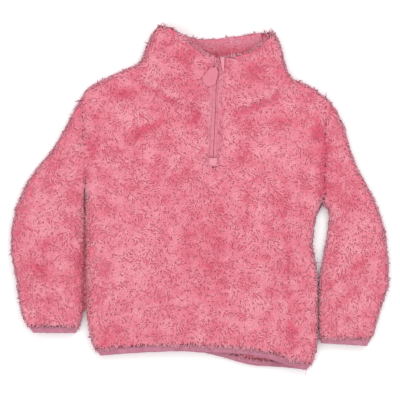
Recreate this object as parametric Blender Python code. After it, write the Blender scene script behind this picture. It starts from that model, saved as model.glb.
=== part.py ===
"""A child's pullover in high-pile fleece with a short zip at the neck, laid flat on its back, front up.

Each cut piece is one object: a cloth wall between an outer and an inner grid of points. Both grids lie over a plan of
the laid garment, which short tables of its edges give, and one height rule lifts them off the ground. Sizes are in
millimetres, and become metres as each object is made. +Y is towards the collar, +X is the wearer's left, and the
ground is z = 0.
"""

import math
from typing import NamedTuple

import bmesh
import bpy
import numpy as np
from mathutils import Matrix, Vector

MM = 0.001

# Cloth
FLEECE = 6.0  # wall of knitted ground and pile, out to the tips
LAYER_GAP = 1.0  # between the front and the back where they lie on each other
SEAM_GAP = 0.3
BINDING_WIDTH = 9.0
BINDING_SINK = 1.0  # how far the binding's face lies below the tips of the pile
BINDING_WALL = 5.0
LINING_WALL = 1.8
FOLD_FADE = 22.0  # distance from an edge over which the relief grows to its full height
HEM_LIFT = 3.0  # how far the front hem stands off the back where it gapes

# Collar
COLLAR_HEIGHT = 80.0
COLLAR_SIDE_LIFT = 4.0  # rise of the front layer at the collar's side folds, at its top edge
COLLAR_MIDDLE_LIFT = 14.0
COLLAR_SPAN = 45.0  # distance from a side fold to where the lift is full

# Zip
ZIP_FOOT = 47.0
ZIP_TOP = 209.0
TAPE_SINK = 1.6
TAPE_WALL = 1.0
COIL_WIDTH = 3.2
COIL_WALL = 1.5
PATCH_LENGTH = 12.5
PATCH_SINK = 0.6
PATCH_WALL = 1.6
GARAGE_FOOT = 188.0
GARAGE_TOP = 209.5
GARAGE_WALL = 1.2

# Slider and pull
SLIDER_PLACE = (25.0, 197.0)
SLIDER_WIDTH = 7.0
SLIDER_LENGTH = 10.0
SLIDER_PLATE = 1.6
SLIDER_PROUD = 0.3  # how far the plate's top stands above the pile
PIN_RADIUS = 0.7
PIN_HEIGHT = 2.5  # axis above the pile
LUG_THICKNESS = 0.8
LUG_INNER = 1.7  # half of the space between the lugs
LUG_REACH = 1.5
EYE_RADIUS = 1.75
EYE_HOLE = 1.05
EYE_WIDTH = 2.7
PULL_TURN = math.radians(-28)  # the pull hangs off the zip's line towards the wearer's right
PULL_LENGTH = 33.0
PULL_WIDTH = 21.0
PULL_NECK = 7.0  # from the axis to where the tab widens
PULL_THICKNESS = 2.4
PULL_UNDERSIDE = 0.8  # clearance of the tab above the pile

FLEECE_PINK = (0.76, 0.22, 0.29, 1)
LINING_PINK = (0.65, 0.14, 0.20, 1)
BINDING_MAUVE = (0.58, 0.21, 0.29, 1)
TAPE_PINK = (0.73, 0.23, 0.30, 1)
TRIM_PINK = (0.86, 0.36, 0.45, 1)


class Spot(NamedTuple):
    """A place on the plan."""

    x: float
    y: float


class SleeveSection(NamedTuple):
    """The two folds of a flat sleeve, where a line across it meets them."""

    outer_x: float
    outer_y: float
    inner_x: float
    inner_y: float


class CollarStay(NamedTuple):
    """A line up the collar, from the neck seam to the top edge."""

    neck_x: float
    neck_y: float
    top_x: float
    top_y: float


class Fold(NamedTuple):
    """A soft ridge in the upper layer along a straight run, or a trough where the rise is negative."""

    from_x: float
    from_y: float
    to_x: float
    to_y: float
    half_width: float
    rise: float


class ZipLevel(NamedTuple):
    """Where the fleece ends on each side of the zip, and where the tapes meet between."""

    y: float
    right_edge: float
    meet: float
    left_edge: float


SHOULDER_RIGHT = [
    Spot(-93, 200),
    Spot(-115.5, 191),
    Spot(-141, 179),
    Spot(-160, 170),
    Spot(-170.5, 160),
    Spot(-175.5, 153),
]
SHOULDER_LEFT = [Spot(136.5, 179), Spot(151.5, 173), Spot(165, 167), Spot(179, 157), Spot(189, 149.5)]
SIDE_RIGHT = [
    Spot(-173, 16),
    Spot(-171.6, 6),
    Spot(-171, -20),
    Spot(-170.6, -78),
    Spot(-170, -139),
    Spot(-168, -190),
    Spot(-163, -214),
    Spot(-157, -230),
    Spot(-152, -237),
]
SIDE_LEFT = [
    Spot(186.5, -12),
    Spot(180.5, -15),
    Spot(175.5, -24),
    Spot(171, -45),
    Spot(168.5, -68),
    Spot(171.5, -88),
    Spot(175.2, -106),
    Spot(176.8, -139),
    Spot(176.8, -180),
    Spot(176.3, -214),
    Spot(173.5, -237),
    Spot(168.5, -250),
    Spot(162, -258.5),
]
# From the armhole to the end of the cuff's binding, whose upper edge is the last row but one
SLEEVE_RIGHT = [
    SleeveSection(-175.5, 153, -173, 16),
    SleeveSection(-188.5, 132, -174.4, 9),
    SleeveSection(-200, 108, -174.6, 1),
    SleeveSection(-219, 76, -174.6, -10),
    SleeveSection(-240, 50, -174.6, -24),
    SleeveSection(-260, 22, -174.6, -42),
    SleeveSection(-277, -16, -174.6, -64),
    SleeveSection(-283.5, -52, -174.6, -88),
    SleeveSection(-283.5, -84, -175, -112),
    SleeveSection(-277, -118, -175.6, -136),
    SleeveSection(-272, -148, -175.8, -158),
    SleeveSection(-267, -176, -176.8, -178),
    SleeveSection(-258.5, -194, -181.5, -194),
    SleeveSection(-252, -203, -185, -203.5),
]
SLEEVE_LEFT = [
    SleeveSection(189, 149.5, 186.5, -12),
    SleeveSection(204.5, 131, 190.5, -15.5),
    SleeveSection(216, 108, 193, -20),
    SleeveSection(225, 73, 194, -28),
    SleeveSection(240.5, 36, 193.6, -39),
    SleeveSection(262.5, -4, 191.5, -54),
    SleeveSection(277.5, -50, 188.6, -72),
    SleeveSection(283, -95, 184, -95),
    SleeveSection(283.5, -130, 180, -118),
    SleeveSection(275.5, -155, 179, -145),
    SleeveSection(267.5, -180, 179.2, -172),
    SleeveSection(261, -203, 179.6, -196),
    SleeveSection(255.5, -213.5, 180, -209.5),
    SleeveSection(252.5, -223, 180.5, -218.5),
]
# Free edge of the binding along the hem, on each layer
HEM_FRONT = [
    Spot(-152, -237),
    Spot(-108, -233.5),
    Spot(-72, -231.8),
    Spot(-36, -230.5),
    Spot(0, -231.5),
    Spot(30, -233),
    Spot(70, -235),
    Spot(92, -238.5),
    Spot(113, -244),
    Spot(135, -251),
    Spot(162, -258.5),
]
HEM_BACK = [
    Spot(-152, -237),
    Spot(-108, -233.5),
    Spot(-72, -231.8),
    Spot(-36, -230.8),
    Spot(0, -232.5),
    Spot(26, -237),
    Spot(53, -245),
    Spot(79, -251.5),
    Spot(105, -253.5),
    Spot(135, -255.5),
    Spot(162, -258.5),
]
# From the wearer's right side fold to the left one. The zip's edges are the two stays in the middle.
COLLAR_FRONT_RIGHT = [
    CollarStay(-93, 200, -62, 258.5),
    CollarStay(-82.5, 177, -50, 258),
    CollarStay(-52.5, 150, -36, 250),
    CollarStay(-22.5, 137.5, -15, 233.5),
    CollarStay(2, 130.5, 6, 217.5),
    CollarStay(16.2, 128.8, 20.5, 212),
]
COLLAR_FRONT_LEFT = [
    CollarStay(26, 128.2, 29.5, 211),
    CollarStay(48, 129, 48, 211.5),
    CollarStay(75, 138.5, 72, 217.5),
    CollarStay(112.5, 154, 91, 231),
    CollarStay(130, 167, 103, 243),
    CollarStay(136.5, 179, 110.5, 248.5),
]
COLLAR_BACK = [
    CollarStay(-93, 200, -62, 258.5),
    CollarStay(-66, 192, -44, 251),
    CollarStay(-40, 188, -25.5, 245),
    CollarStay(0, 184, 0, 237),
    CollarStay(40, 182, 36, 239.5),
    CollarStay(80, 180, 72, 244),
    CollarStay(110, 179, 91, 247.5),
    CollarStay(136.5, 179, 110.5, 248.5),
]
COLLAR_FOLD_RIGHT = [
    Spot(-93, 200),
    Spot(-88.5, 207),
    Spot(-83.5, 219),
    Spot(-78, 232),
    Spot(-72, 245),
    Spot(-62, 258.5),
]
COLLAR_FOLD_LEFT = [
    Spot(136.5, 179),
    Spot(131, 191),
    Spot(125.8, 207),
    Spot(121.3, 225),
    Spot(117, 239),
    Spot(110.5, 248.5),
]

ZIP_LEVELS = [
    ZipLevel(212, 20.5, 25.5, 29.5),
    ZipLevel(129, 16.2, 23.3, 26.0),
    ZipLevel(95, 14.3, 21.5, 26.2),
    ZipLevel(47, 11.6, 19.0, 26.5),
]

FOLDS = [
    Fold(-60, 60, -40, -180, 95, 1.6),
    Fold(90, 60, 90, -180, 75, 1.4),
    Fold(126, 20, 135, -225, 13, 2.6),
    Fold(150, 60, 152, -120, 10, -0.8),
    Fold(-105, 95, -52, 125, 14, 1.8),
    Fold(-140, 30, -120, -60, 16, 1.6),
    Fold(-95, -110, -60, -200, 18, 1.5),
    Fold(20, -60, 60, -170, 22, 1.4),
    Fold(-225, 20, -228, -170, 34, 3.0),
    Fold(-262, -90, -205, -55, 12, -1.6),
    Fold(-250, -110, -200, -140, 11, 1.6),
    Fold(228, 20, 228, -180, 32, 3.0),
    Fold(205, -120, 255, -75, 11, 1.8),
    Fold(200, -160, 250, -125, 10, -1.6),
    Fold(2, 120, 4, 50, 9, 1.6),
    Fold(38, 120, 38, 50, 9, 1.4),
]


def smooth_line(rows, steps=8):
    """A smooth line through every row, with `steps` points to each stretch."""
    spots = np.array(rows, float)
    ends = [2 * spots[0] - spots[1], 2 * spots[-1] - spots[-2]]
    guides = np.vstack([ends[0], spots, ends[1]])
    t = np.arange(steps)[:, None] / steps
    stretches = []
    for a, b, c, d in zip(guides, guides[1:], guides[2:], guides[3:]):
        curve = 2 * b + (c - a) * t + (2 * a - 5 * b + 4 * c - d) * t**2 + (3 * b - a - 3 * c + d) * t**3
        stretches.append(curve / 2)
    return np.vstack([*stretches, spots[-1:]])


def y_at(line, x):
    """Height on the plan of a line that runs from side to side."""
    order = np.argsort(line[:, 0])
    return np.interp(x, line[order, 0], line[order, 1])


def x_at(line, y):
    """Place across the plan of a line that runs up and down."""
    order = np.argsort(line[:, 1])
    return np.interp(y, line[order, 1], line[order, 0])


def fold_lines():
    """Every edge where the front turns into the back, each run with the garment on its left-hand side."""
    sleeve_right = smooth_line(SLEEVE_RIGHT)
    sleeve_left = smooth_line(SLEEVE_LEFT)
    return [
        smooth_line(SHOULDER_RIGHT),
        sleeve_right[:, :2],
        sleeve_right[::-1, 2:],
        smooth_line(SIDE_RIGHT),
        smooth_line(SIDE_LEFT)[::-1],
        sleeve_left[:, 2:],
        sleeve_left[::-1, :2],
        smooth_line(SHOULDER_LEFT)[::-1],
        smooth_line(COLLAR_FOLD_LEFT),
        smooth_line(COLLAR_FOLD_RIGHT)[::-1],
    ]


def collar_columns(stays, fold, fold_first, up):
    """Plan columns of one stretch of the collar, from the fold to its other end, with the round by the fold."""
    dense = smooth_line(stays, steps=2)
    columns = (1 - up[:, None, None]) * dense[None, :, :2] + up[:, None, None] * dense[None, :, 2:]
    if not fold_first:
        columns = columns[:, ::-1]
    fold_line = smooth_line(fold)
    steps = np.arange(len(fold_line)) / (len(fold_line) - 1)
    edge = np.stack([np.interp(up, steps, fold_line[:, 0]), np.interp(up, steps, fold_line[:, 1])], axis=1)
    towards = columns[:, 3] - edge
    length = np.linalg.norm(towards, axis=1, keepdims=True)
    rounded = [edge + towards / length * step for step in (0.0, 1.2, 4.2, 9.0)]
    return np.concatenate([np.stack(rounded, axis=1), columns[:, 3:]], axis=1)


def collar_front(up):
    """The two stretches of the collar's front, each from the wearer's right to the left, with the zip between."""
    right = collar_columns(COLLAR_FRONT_RIGHT, COLLAR_FOLD_RIGHT, True, up)
    left = collar_columns(COLLAR_FRONT_LEFT, COLLAR_FOLD_LEFT, False, up)[:, ::-1]
    return right, left


def collar_back(up):
    """The collar's back, from the wearer's right to the left."""
    from_right = collar_columns(COLLAR_BACK, COLLAR_FOLD_RIGHT, True, up)
    from_left = collar_columns(COLLAR_BACK, COLLAR_FOLD_LEFT, False, up)
    half = from_right.shape[1] // 2 + 1
    return np.concatenate([from_right[:, :half], from_left[:, : half - 1][:, ::-1]], axis=1)


FOLD_STARTS = np.vstack([line[:-1] for line in fold_lines()])
FOLD_RUNS = np.vstack([np.diff(line, axis=0) for line in fold_lines()])
NECK_SEAM = np.array([0.0])
NECK_LINE = np.vstack([half[0] for half in collar_front(NECK_SEAM)])
BACK_NECK_LINE = collar_back(NECK_SEAM)[0]
HEM_FRONT_LINE = smooth_line(HEM_FRONT)
HEM_BACK_LINE = smooth_line(HEM_BACK)


def nearest_fold(plan):
    """Distance from each place to the nearest folded edge, and the level direction out across that edge."""
    places = plan.reshape(-1, 1, 2)
    share = ((places - FOLD_STARTS) * FOLD_RUNS).sum(axis=2) / (FOLD_RUNS**2).sum(axis=1)
    nearest = FOLD_STARTS + np.clip(share, 0, 1)[:, :, None] * FOLD_RUNS
    away = np.linalg.norm(nearest - places, axis=2)
    best = away.argmin(axis=1)
    pick = np.arange(len(best))
    reach = away[pick, best]
    runs = FOLD_RUNS[best]
    across = np.stack([runs[:, 1], -runs[:, 0]], axis=1)
    across /= np.linalg.norm(across, axis=1, keepdims=True)
    towards = (nearest[pick, best] - places[:, 0]) / np.maximum(reach, 1e-9)[:, None]
    outward = np.where((reach > 0.5)[:, None], towards, across)
    return reach.reshape(plan.shape[:-1]), outward.reshape(plan.shape)


def ease(share):
    """0 to 1 with a soft start and end."""
    held = np.clip(share, 0, 1)
    return held * held * (3 - 2 * held)


def relief(plan):
    """Sum of the soft folds over each place."""
    total = np.zeros(plan.shape[:-1])
    for fold in FOLDS:
        start = np.array([fold.from_x, fold.from_y])
        run = np.array([fold.to_x, fold.to_y]) - start
        share = np.clip(((plan - start) @ run) / (run @ run), 0, 1)
        away = np.linalg.norm(plan - start - share[..., None] * run, axis=-1)
        total += fold.rise * np.exp(-((away / fold.half_width) ** 2))
    return total


def stack_height(plan):
    """Height of the outer face of the front over the ground, away from the rounded edges."""
    x, y = plan[..., 0], plan[..., 1]
    reach, _ = nearest_fold(plan)
    up_collar = (y - y_at(NECK_LINE, x)) / COLLAR_HEIGHT
    up_collar = np.where((x < NECK_LINE[0, 0]) | (x > NECK_LINE[-1, 0]), 0, np.clip(up_collar, 0, 1))
    middle = ease(reach / COLLAR_SPAN)
    collar = up_collar * (COLLAR_SIDE_LIFT + (COLLAR_MIDDLE_LIFT - COLLAR_SIDE_LIFT) * middle)
    gape = HEM_LIFT * ease((x - 25) / 50) * ease((150 - x) / 45) * ease((-190 - y) / 45)
    flat = 1 - ease(up_collar * 6)
    folds = relief(plan) * ease(reach / FOLD_FADE) * flat
    return 2 * FLEECE + LAYER_GAP + np.maximum(folds, -0.7) + collar + gape


def slope(plan):
    """Rise of the height rule along X and Y."""
    step = 1.0
    rises = []
    for shift in (np.array([step, 0]), np.array([0, step])):
        rises.append((stack_height(plan + shift) - stack_height(plan - shift)) / (2 * step))
    return np.stack(rises, axis=-1)


def layer(plan, side):
    """Outer points over a plan, and the normals there: side is 1 on the front layer and -1 on the back one."""
    side = np.broadcast_to(side, plan.shape[:-1])
    reach, outward = nearest_fold(plan)
    radius = stack_height(plan) / 2
    level = np.clip(1 - reach / radius, 0, 1)
    upright = np.sqrt(1 - level**2)
    z = radius * (1 + side * upright)
    lean = slope(plan) * np.maximum(side * upright, 0)[..., None]
    normals = np.concatenate([outward * level[..., None] - lean, (side * upright)[..., None]], axis=-1)
    normals /= np.linalg.norm(normals, axis=-1, keepdims=True)
    return np.concatenate([plan, z[..., None]], axis=-1), normals


def material(name, colour, roughness, metallic=0.0):
    made = bpy.data.materials.new(name)
    made.use_nodes = True
    shader = made.node_tree.nodes["Principled BSDF"]
    shader.inputs["Base Color"].default_value = colour
    shader.inputs["Roughness"].default_value = roughness
    shader.inputs["Metallic"].default_value = metallic
    return made


def add_object(name, shape, finish):
    """The bmesh as an object of the scene, shaded smooth but for its sharp edges."""
    bmesh.ops.recalc_face_normals(shape, faces=shape.faces)
    mesh = bpy.data.meshes.new(name)
    shape.to_mesh(mesh)
    shape.free()
    mesh.shade_smooth()
    mesh.set_sharp_from_angle(angle=math.radians(40))
    mesh.materials.append(finish)
    made = bpy.data.objects.new(name, mesh)
    bpy.context.scene.collection.objects.link(made)
    return made


def wall(name, outer, inner, finish, around=False, missing=()):
    """A closed cloth wall between two like grids of points, without the missing cells, rimmed at every border."""
    rows, columns = outer.shape[:2]
    shape = bmesh.new()
    faces = []
    for grid in (outer, inner):
        faces.append([[shape.verts.new(point * MM) for point in row] for row in grid])
    cells = {(row, column) for row in range(rows - 1) for column in range(columns if around else columns - 1)}
    cells -= set(missing)

    def next_column(column):
        return (column + 1) % columns

    for row, column in cells:
        after = next_column(column)
        corners = [(row, column), (row, after), (row + 1, after), (row + 1, column)]
        for face in faces:
            shape.faces.new([face[r][c] for r, c in corners])
        beside = [
            (row - 1, column),
            (row, after if around else column + 1),
            (row + 1, column),
            (row, (column - 1) % columns if around else column - 1),
        ]
        for side, neighbour in enumerate(beside):
            if neighbour not in cells:
                (r0, c0), (r1, c1) = corners[side], corners[(side + 1) % 4]
                shape.faces.new([faces[0][r0][c0], faces[0][r1][c1], faces[1][r1][c1], faces[1][r0][c0]])
    return add_object(name, shape, finish)


def cloth(name, plan, side, finish, near=0.0, far=FLEECE, parted=False, seam_shift=(0, 0), seams=(), **options):
    """A wall from `near` to `far` below the outer face over the plan. A parted one stops short of the edge seam.

    The seam shift moves the first row away from the neighbour whose seam points it shares. Each seam is a pick of
    grid points and the axis of the plan, 0 or 1, that the rim there lies square to.
    """
    points, normals = layer(plan, side)
    points[0, :, :2] += seam_shift
    for pick, axis in seams:
        held = normals[pick]
        level = np.sqrt(np.maximum(1 - held[..., 2] ** 2, 0))
        held[..., 1 - axis] = np.copysign(level, held[..., 1 - axis])
        held[..., axis] = 0
        normals[pick] = held
    outer = points - near * normals
    inner = points - far * normals
    if parted:
        lift = side * SEAM_GAP / 2 * (1 - np.abs(normals[..., 2]))
        outer[..., 2] += lift
        inner[..., 2] += lift
    return wall(name, outer, inner, finish, **options)


def patch(bottom, top, left, right, across, up):
    """Plan points that blend four edges: bottom and top hold a point for each column, left and right for each row."""
    up = np.asarray(up)[:, None, None]
    across = np.asarray(across)[None, :, None]
    ruled = (1 - up) * bottom[None] + up * top[None]
    left_bow = (left - ruled[:, 0])[:, None] * (1 - across) ** 2
    right_bow = (right - ruled[:, -1])[:, None] * across**2
    return ruled + left_bow + right_bow


# Distances from a folded edge at which its round is sampled
ROUND_STEPS = np.array([0.0, 0.9, 3.3, 6.8, 13.0])
ROWS_BELOW_FOOT = 12
ROWS_ABOVE_FOOT = 4


def body_plan(neck_line, hem_line, shoulder_tops):
    """Plan points of the front or the back, with a column at each point of its neck line and each shoulder top."""
    shoulder_right = smooth_line(SHOULDER_RIGHT)
    shoulder_left = smooth_line(SHOULDER_LEFT)
    top_line = np.vstack([shoulder_right[::-1], neck_line[1:-1], shoulder_left])
    side_right = np.vstack([smooth_line(SIDE_RIGHT), shoulder_right[-1:]])
    side_left = np.vstack([smooth_line(SIDE_LEFT), shoulder_left[-1:]])
    inner = np.sort(np.concatenate([neck_line[:, 0], shoulder_tops]))
    tops = np.concatenate([top_line[0, 0] + ROUND_STEPS, inner, top_line[-1, 0] - ROUND_STEPS[::-1]])
    right_hem = x_at(side_right, hem_line[0, 1] + BINDING_WIDTH)
    left_hem = x_at(side_left, hem_line[-1, 1] + BINDING_WIDTH)
    zip_top, zip_foot = ZIP_LEVELS[1], ZIP_LEVELS[-1]
    to_hem = (y_at(hem_line, 0) - zip_top.y) / (zip_foot.y - zip_top.y)
    right_zip = zip_top.right_edge + (zip_foot.right_edge - zip_top.right_edge) * to_hem
    left_zip = zip_top.left_edge + (zip_foot.left_edge - zip_top.left_edge) * to_hem
    reach = ROUND_STEPS[-1]
    hems = np.interp(
        tops,
        [tops[0], tops[0] + reach, zip_top.right_edge, zip_top.left_edge, tops[-1] - reach, tops[-1]],
        [right_hem, right_hem + reach, right_zip, left_zip, left_hem - reach, left_hem],
    )
    top = np.stack([tops, y_at(top_line, tops)], axis=1)
    bottom = np.stack([hems, y_at(hem_line, hems) + BINDING_WIDTH], axis=1)
    zip_column = np.searchsorted(tops, zip_top.right_edge - 0.01)
    low, high = bottom[zip_column, 1], top[zip_column, 1]
    foot = (ZIP_FOOT - low) / (high - low)
    side_length = (top[0, 1] - bottom[0, 1] + top[-1, 1] - bottom[-1, 1]) / 2
    round_rows = 1 - ROUND_STEPS[::-1] / side_length
    above_foot = np.linspace(foot, round_rows[0], ROWS_ABOVE_FOOT + 1)[1:]
    up = np.concatenate([np.linspace(0, foot, ROWS_BELOW_FOOT + 1), above_foot, round_rows[1:]])
    edges = []
    for side_line, column in ((side_right, 0), (side_left, -1)):
        levels = bottom[column, 1] + (top[column, 1] - bottom[column, 1]) * up
        edges.append(np.stack([x_at(side_line, levels), levels], axis=1))
    across = (tops - tops[0]) / (tops[-1] - tops[0])
    return patch(bottom, top, *edges, across, up), zip_column


def body_seams(plan):
    """The seams of the front or the back at the hem and at both armholes."""
    right_armhole = (plan[:, 0, 1] > SIDE_RIGHT[0].y, 0)
    left_armhole = (plan[:, -1, 1] > SIDE_LEFT[0].y, -1)
    return [(0, 1), (right_armhole, 0), (left_armhole, 0)]


def make_body(finish):
    """The front with its slit for the zip, and the back, which meet at the shoulders and the sides."""
    front_plan, zip_column = body_plan(NECK_LINE, HEM_FRONT_LINE, np.array([-146, -129, -112, 148, 161]))
    slit = [(row, zip_column) for row in range(ROWS_BELOW_FOOT, len(front_plan) - 1)]
    cloth("front", front_plan, 1, finish, parted=True, missing=slit, seams=body_seams(front_plan))
    back_plan, _ = body_plan(BACK_NECK_LINE, HEM_BACK_LINE, np.array([-146, -120, 153]))
    cloth("back", back_plan, -1, finish, parted=True, seams=body_seams(back_plan))
    slit_edges = [front_plan[ROWS_BELOW_FOOT:, column] for column in (zip_column, zip_column + 1)]
    return front_plan[0], back_plan[0], slit_edges


def flat_ring(start, end, middle_steps):
    """Plan points and sides of one turn round a flat tube: over its front from start to end, and under it back."""
    run = end - start
    length = np.linalg.norm(run)
    middle = np.linspace(ROUND_STEPS[-1], length - ROUND_STEPS[-1], middle_steps)[1:-1]
    over = np.concatenate([ROUND_STEPS, middle, length - ROUND_STEPS[::-1]]) / length
    under = np.concatenate([ROUND_STEPS[1:], middle, length - ROUND_STEPS[:0:-1]])[::-1] / length
    shares = np.concatenate([over, under])
    sides = np.concatenate([np.ones(len(over)), -np.ones(len(under))])
    return start + shares[:, None] * run, sides


def section_at(table, place):
    """A sleeve's section at a place along its table, read from the smooth line through the rows."""
    line = smooth_line(table)
    steps = np.arange(len(line)) / 8
    section = np.array([np.interp(place, steps, column) for column in line.T])
    return section[:2], section[2:]


def tube(name, table, places, finish, middle_steps, **options):
    """A flat tube of cloth along a sleeve's table."""
    rings = [flat_ring(*section_at(table, place), middle_steps) for place in places]
    plan = np.array([ring[0] for ring in rings])
    sides = np.array([ring[1] for ring in rings])
    return cloth(name, plan, sides, finish, around=True, **options)


def make_sleeve(wearer_side, table, fleece, knit):
    """A fleece sleeve from its armhole seam to its cuff, and the knitted binding on the cuff."""
    end = len(table) - 2
    places = np.concatenate([[0, 0.5], np.arange(1, end - 1), [end - 1, end - 0.5, end]])
    outward = math.copysign(SEAM_GAP, table[0].outer_x)
    tube(f"sleeve_{wearer_side}", table, places, fleece, 6, seam_shift=(outward, 0), seams=[(0, 0), (-1, 1)])
    sunk = dict(near=BINDING_SINK, far=BINDING_SINK + BINDING_WALL, seam_shift=(0, -SEAM_GAP), seams=[(0, 1)])
    tube(f"cuff_binding_{wearer_side}", table, [end, end + 0.5, end + 1], knit, 6, **sunk)


def make_hem_binding(front_hem, back_hem, finish):
    """The binding all round the hem, made from the hem points of the front and the back, moved down."""
    side_right, side_left = smooth_line(SIDE_RIGHT), smooth_line(SIDE_LEFT)
    hem = np.vstack([front_hem, back_hem[-2:0:-1]])
    sides = np.concatenate([np.ones(len(front_hem)), -np.ones(len(back_hem) - 2)])
    across = ((hem[:, 0] - hem[0, 0]) / (front_hem[-1, 0] - hem[0, 0]))[:, None]
    rings = []
    for below in (0.0, BINDING_WIDTH * 0.5, BINDING_WIDTH):
        moved = hem - (0, below)
        right_shift = x_at(side_right, moved[0, 1]) - hem[0, 0]
        left_shift = x_at(side_left, front_hem[-1, 1] - below) - front_hem[-1, 0]
        moved[:, :1] += right_shift * (1 - across) ** 2 + left_shift * across**2
        rings.append(moved)
    sunk = dict(near=BINDING_SINK, far=BINDING_SINK + BINDING_WALL, seam_shift=(0, -SEAM_GAP), seams=[(0, 1)])
    cloth("hem_binding", np.array(rings), sides, finish, around=True, **sunk)


def make_collar(finish, lining_finish):
    """The tall collar, a flat ring of fleece that is open at the zip, and the smoother lining at the back of it."""
    up = np.concatenate([[SEAM_GAP / COLLAR_HEIGHT], np.linspace(0.06, 1, 9)])
    front_right, front_left = collar_front(up)
    back = collar_back(up)[:, -2:0:-1]
    plan = np.concatenate([front_left, back, front_right], axis=1)
    sides = np.ones(plan.shape[:2])
    sides[:, front_left.shape[1] : -front_right.shape[1]] = -1
    cloth("collar", plan, sides, finish)
    lining_up = np.linspace(0.1, 0.985, 6)
    stays = smooth_line(COLLAR_BACK, steps=2)
    lining = (1 - lining_up[:, None, None]) * stays[None, :, :2] + lining_up[:, None, None] * stays[None, :, 2:]
    near = FLEECE + SEAM_GAP
    inset = slice(2, -2)
    cloth("collar_lining", lining[:, inset], -1, lining_finish, near=near, far=near + LINING_WALL)
    return front_right[:, -1], front_left[:, 0]


def zip_strip(name, low, high, from_edge, to_edge, near, far, finish, rows=14):
    """A flat strip along the zip between two lines, each a function of the height on the plan."""
    y = np.linspace(low, high, rows)
    start, end = from_edge(y), to_edge(y)
    shares = np.array([0, 0.5, 1])
    x = start[:, None] + (end - start)[:, None] * shares
    plan = np.stack([x, np.broadcast_to(y[:, None], x.shape)], axis=-1)
    return cloth(name, plan, 1, finish, near=near, far=far)


def make_zip(right_edge, left_edge, tape, trim):
    """Two tapes that meet over the coil, the patch over their foot and the folded tab at their top."""
    tape_foot = ZIP_FOOT + PATCH_LENGTH + SEAM_GAP
    meet_line = np.array([[level.meet, level.y] for level in ZIP_LEVELS])

    def right(y):
        return x_at(right_edge, y) + SEAM_GAP

    def left(y):
        return x_at(left_edge, y) - SEAM_GAP

    def meet(y):
        return x_at(meet_line, y)

    half_gap = SEAM_GAP / 2
    tape_depths = (TAPE_SINK, TAPE_SINK + TAPE_WALL)
    zip_strip("zip_tape_right", tape_foot, ZIP_TOP, right, lambda y: meet(y) - half_gap, *tape_depths, tape)
    zip_strip("zip_tape_left", tape_foot, ZIP_TOP, lambda y: meet(y) + half_gap, left, *tape_depths, tape)
    coil_near = TAPE_SINK + TAPE_WALL + SEAM_GAP
    half_coil = COIL_WIDTH / 2
    coil_edges = (lambda y: meet(y) - half_coil, lambda y: meet(y) + half_coil)
    zip_strip("zip_coil", tape_foot, ZIP_TOP - 2, *coil_edges, coil_near, coil_near + COIL_WALL, tape)
    patch_depths = (PATCH_SINK, PATCH_SINK + PATCH_WALL)
    zip_strip("zip_end_patch", ZIP_FOOT + 1.0, tape_foot - SEAM_GAP, right, left, *patch_depths, trim, 3)

    def garage_inner(y):
        return np.interp(y, [GARAGE_FOOT, GARAGE_TOP], [33.2, 30.2])

    def garage_outer(y):
        return np.interp(y, [GARAGE_FOOT, GARAGE_TOP], [35.9, 36.8])

    garage_depths = (-SEAM_GAP - GARAGE_WALL, -SEAM_GAP)
    zip_strip("zip_garage", GARAGE_FOOT, GARAGE_TOP, garage_inner, garage_outer, *garage_depths, trim, 5)


def box(name, low, high, finish, bevel=0.0):
    """A box between two corners, in millimetres, with its edges rounded."""
    shape = bmesh.new()
    bmesh.ops.create_cube(shape, size=1)
    size = (Vector(high) - Vector(low)) * MM
    middle = (Vector(high) + Vector(low)) / 2 * MM
    bmesh.ops.transform(shape, matrix=Matrix.Translation(middle) @ Matrix.Diagonal((*size, 1)), verts=shape.verts)
    if bevel:
        bmesh.ops.bevel(
            shape, geom=shape.edges[:], offset=bevel * MM, segments=2, profile=0.5, affect="EDGES", material=-1
        )
    return add_object(name, shape, finish)


def rod(name, radius, length, finish, height):
    """A round rod along X, centred at a height over the local origin."""
    shape = bmesh.new()
    bmesh.ops.create_cone(
        shape, cap_ends=True, segments=20, radius1=radius * MM, radius2=radius * MM, depth=length * MM
    )
    turn = Matrix.Translation((0, 0, height * MM)) @ Matrix.Rotation(math.radians(90), 4, "Y")
    bmesh.ops.transform(shape, matrix=turn, verts=shape.verts)
    return add_object(name, shape, finish)


def combine(target, helper, operation):
    """Joins a helper to a target, or cuts it out, and takes the helper out of the render."""
    modifier = target.modifiers.new(helper.name, "BOOLEAN")
    modifier.operation = operation
    modifier.object = helper
    helper.hide_render = True
    helper.display_type = "WIRE"


def hardware_seat(name, turn):
    """An empty on the pile at the slider, with its Z out of the cloth and its Y up the zip, turned by an angle."""
    under_tab = np.array([SLIDER_PLACE[0] - 8, SLIDER_PLACE[1] - 14])
    _, normals = layer(under_tab[None], 1)
    points, _ = layer(np.array([SLIDER_PLACE]), 1)
    normal = Vector(normals[0])
    across = Vector((0, 1, 0)).cross(normal).normalized()
    along = normal.cross(across)
    frame = Matrix((across, along, normal)).transposed().to_4x4()
    seat = bpy.data.objects.new(name, None)
    seat.matrix_world = Matrix.Translation(Vector(points[0]) * MM) @ frame @ Matrix.Rotation(turn, 4, "Z")
    bpy.context.scene.collection.objects.link(seat)
    return seat


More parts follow.
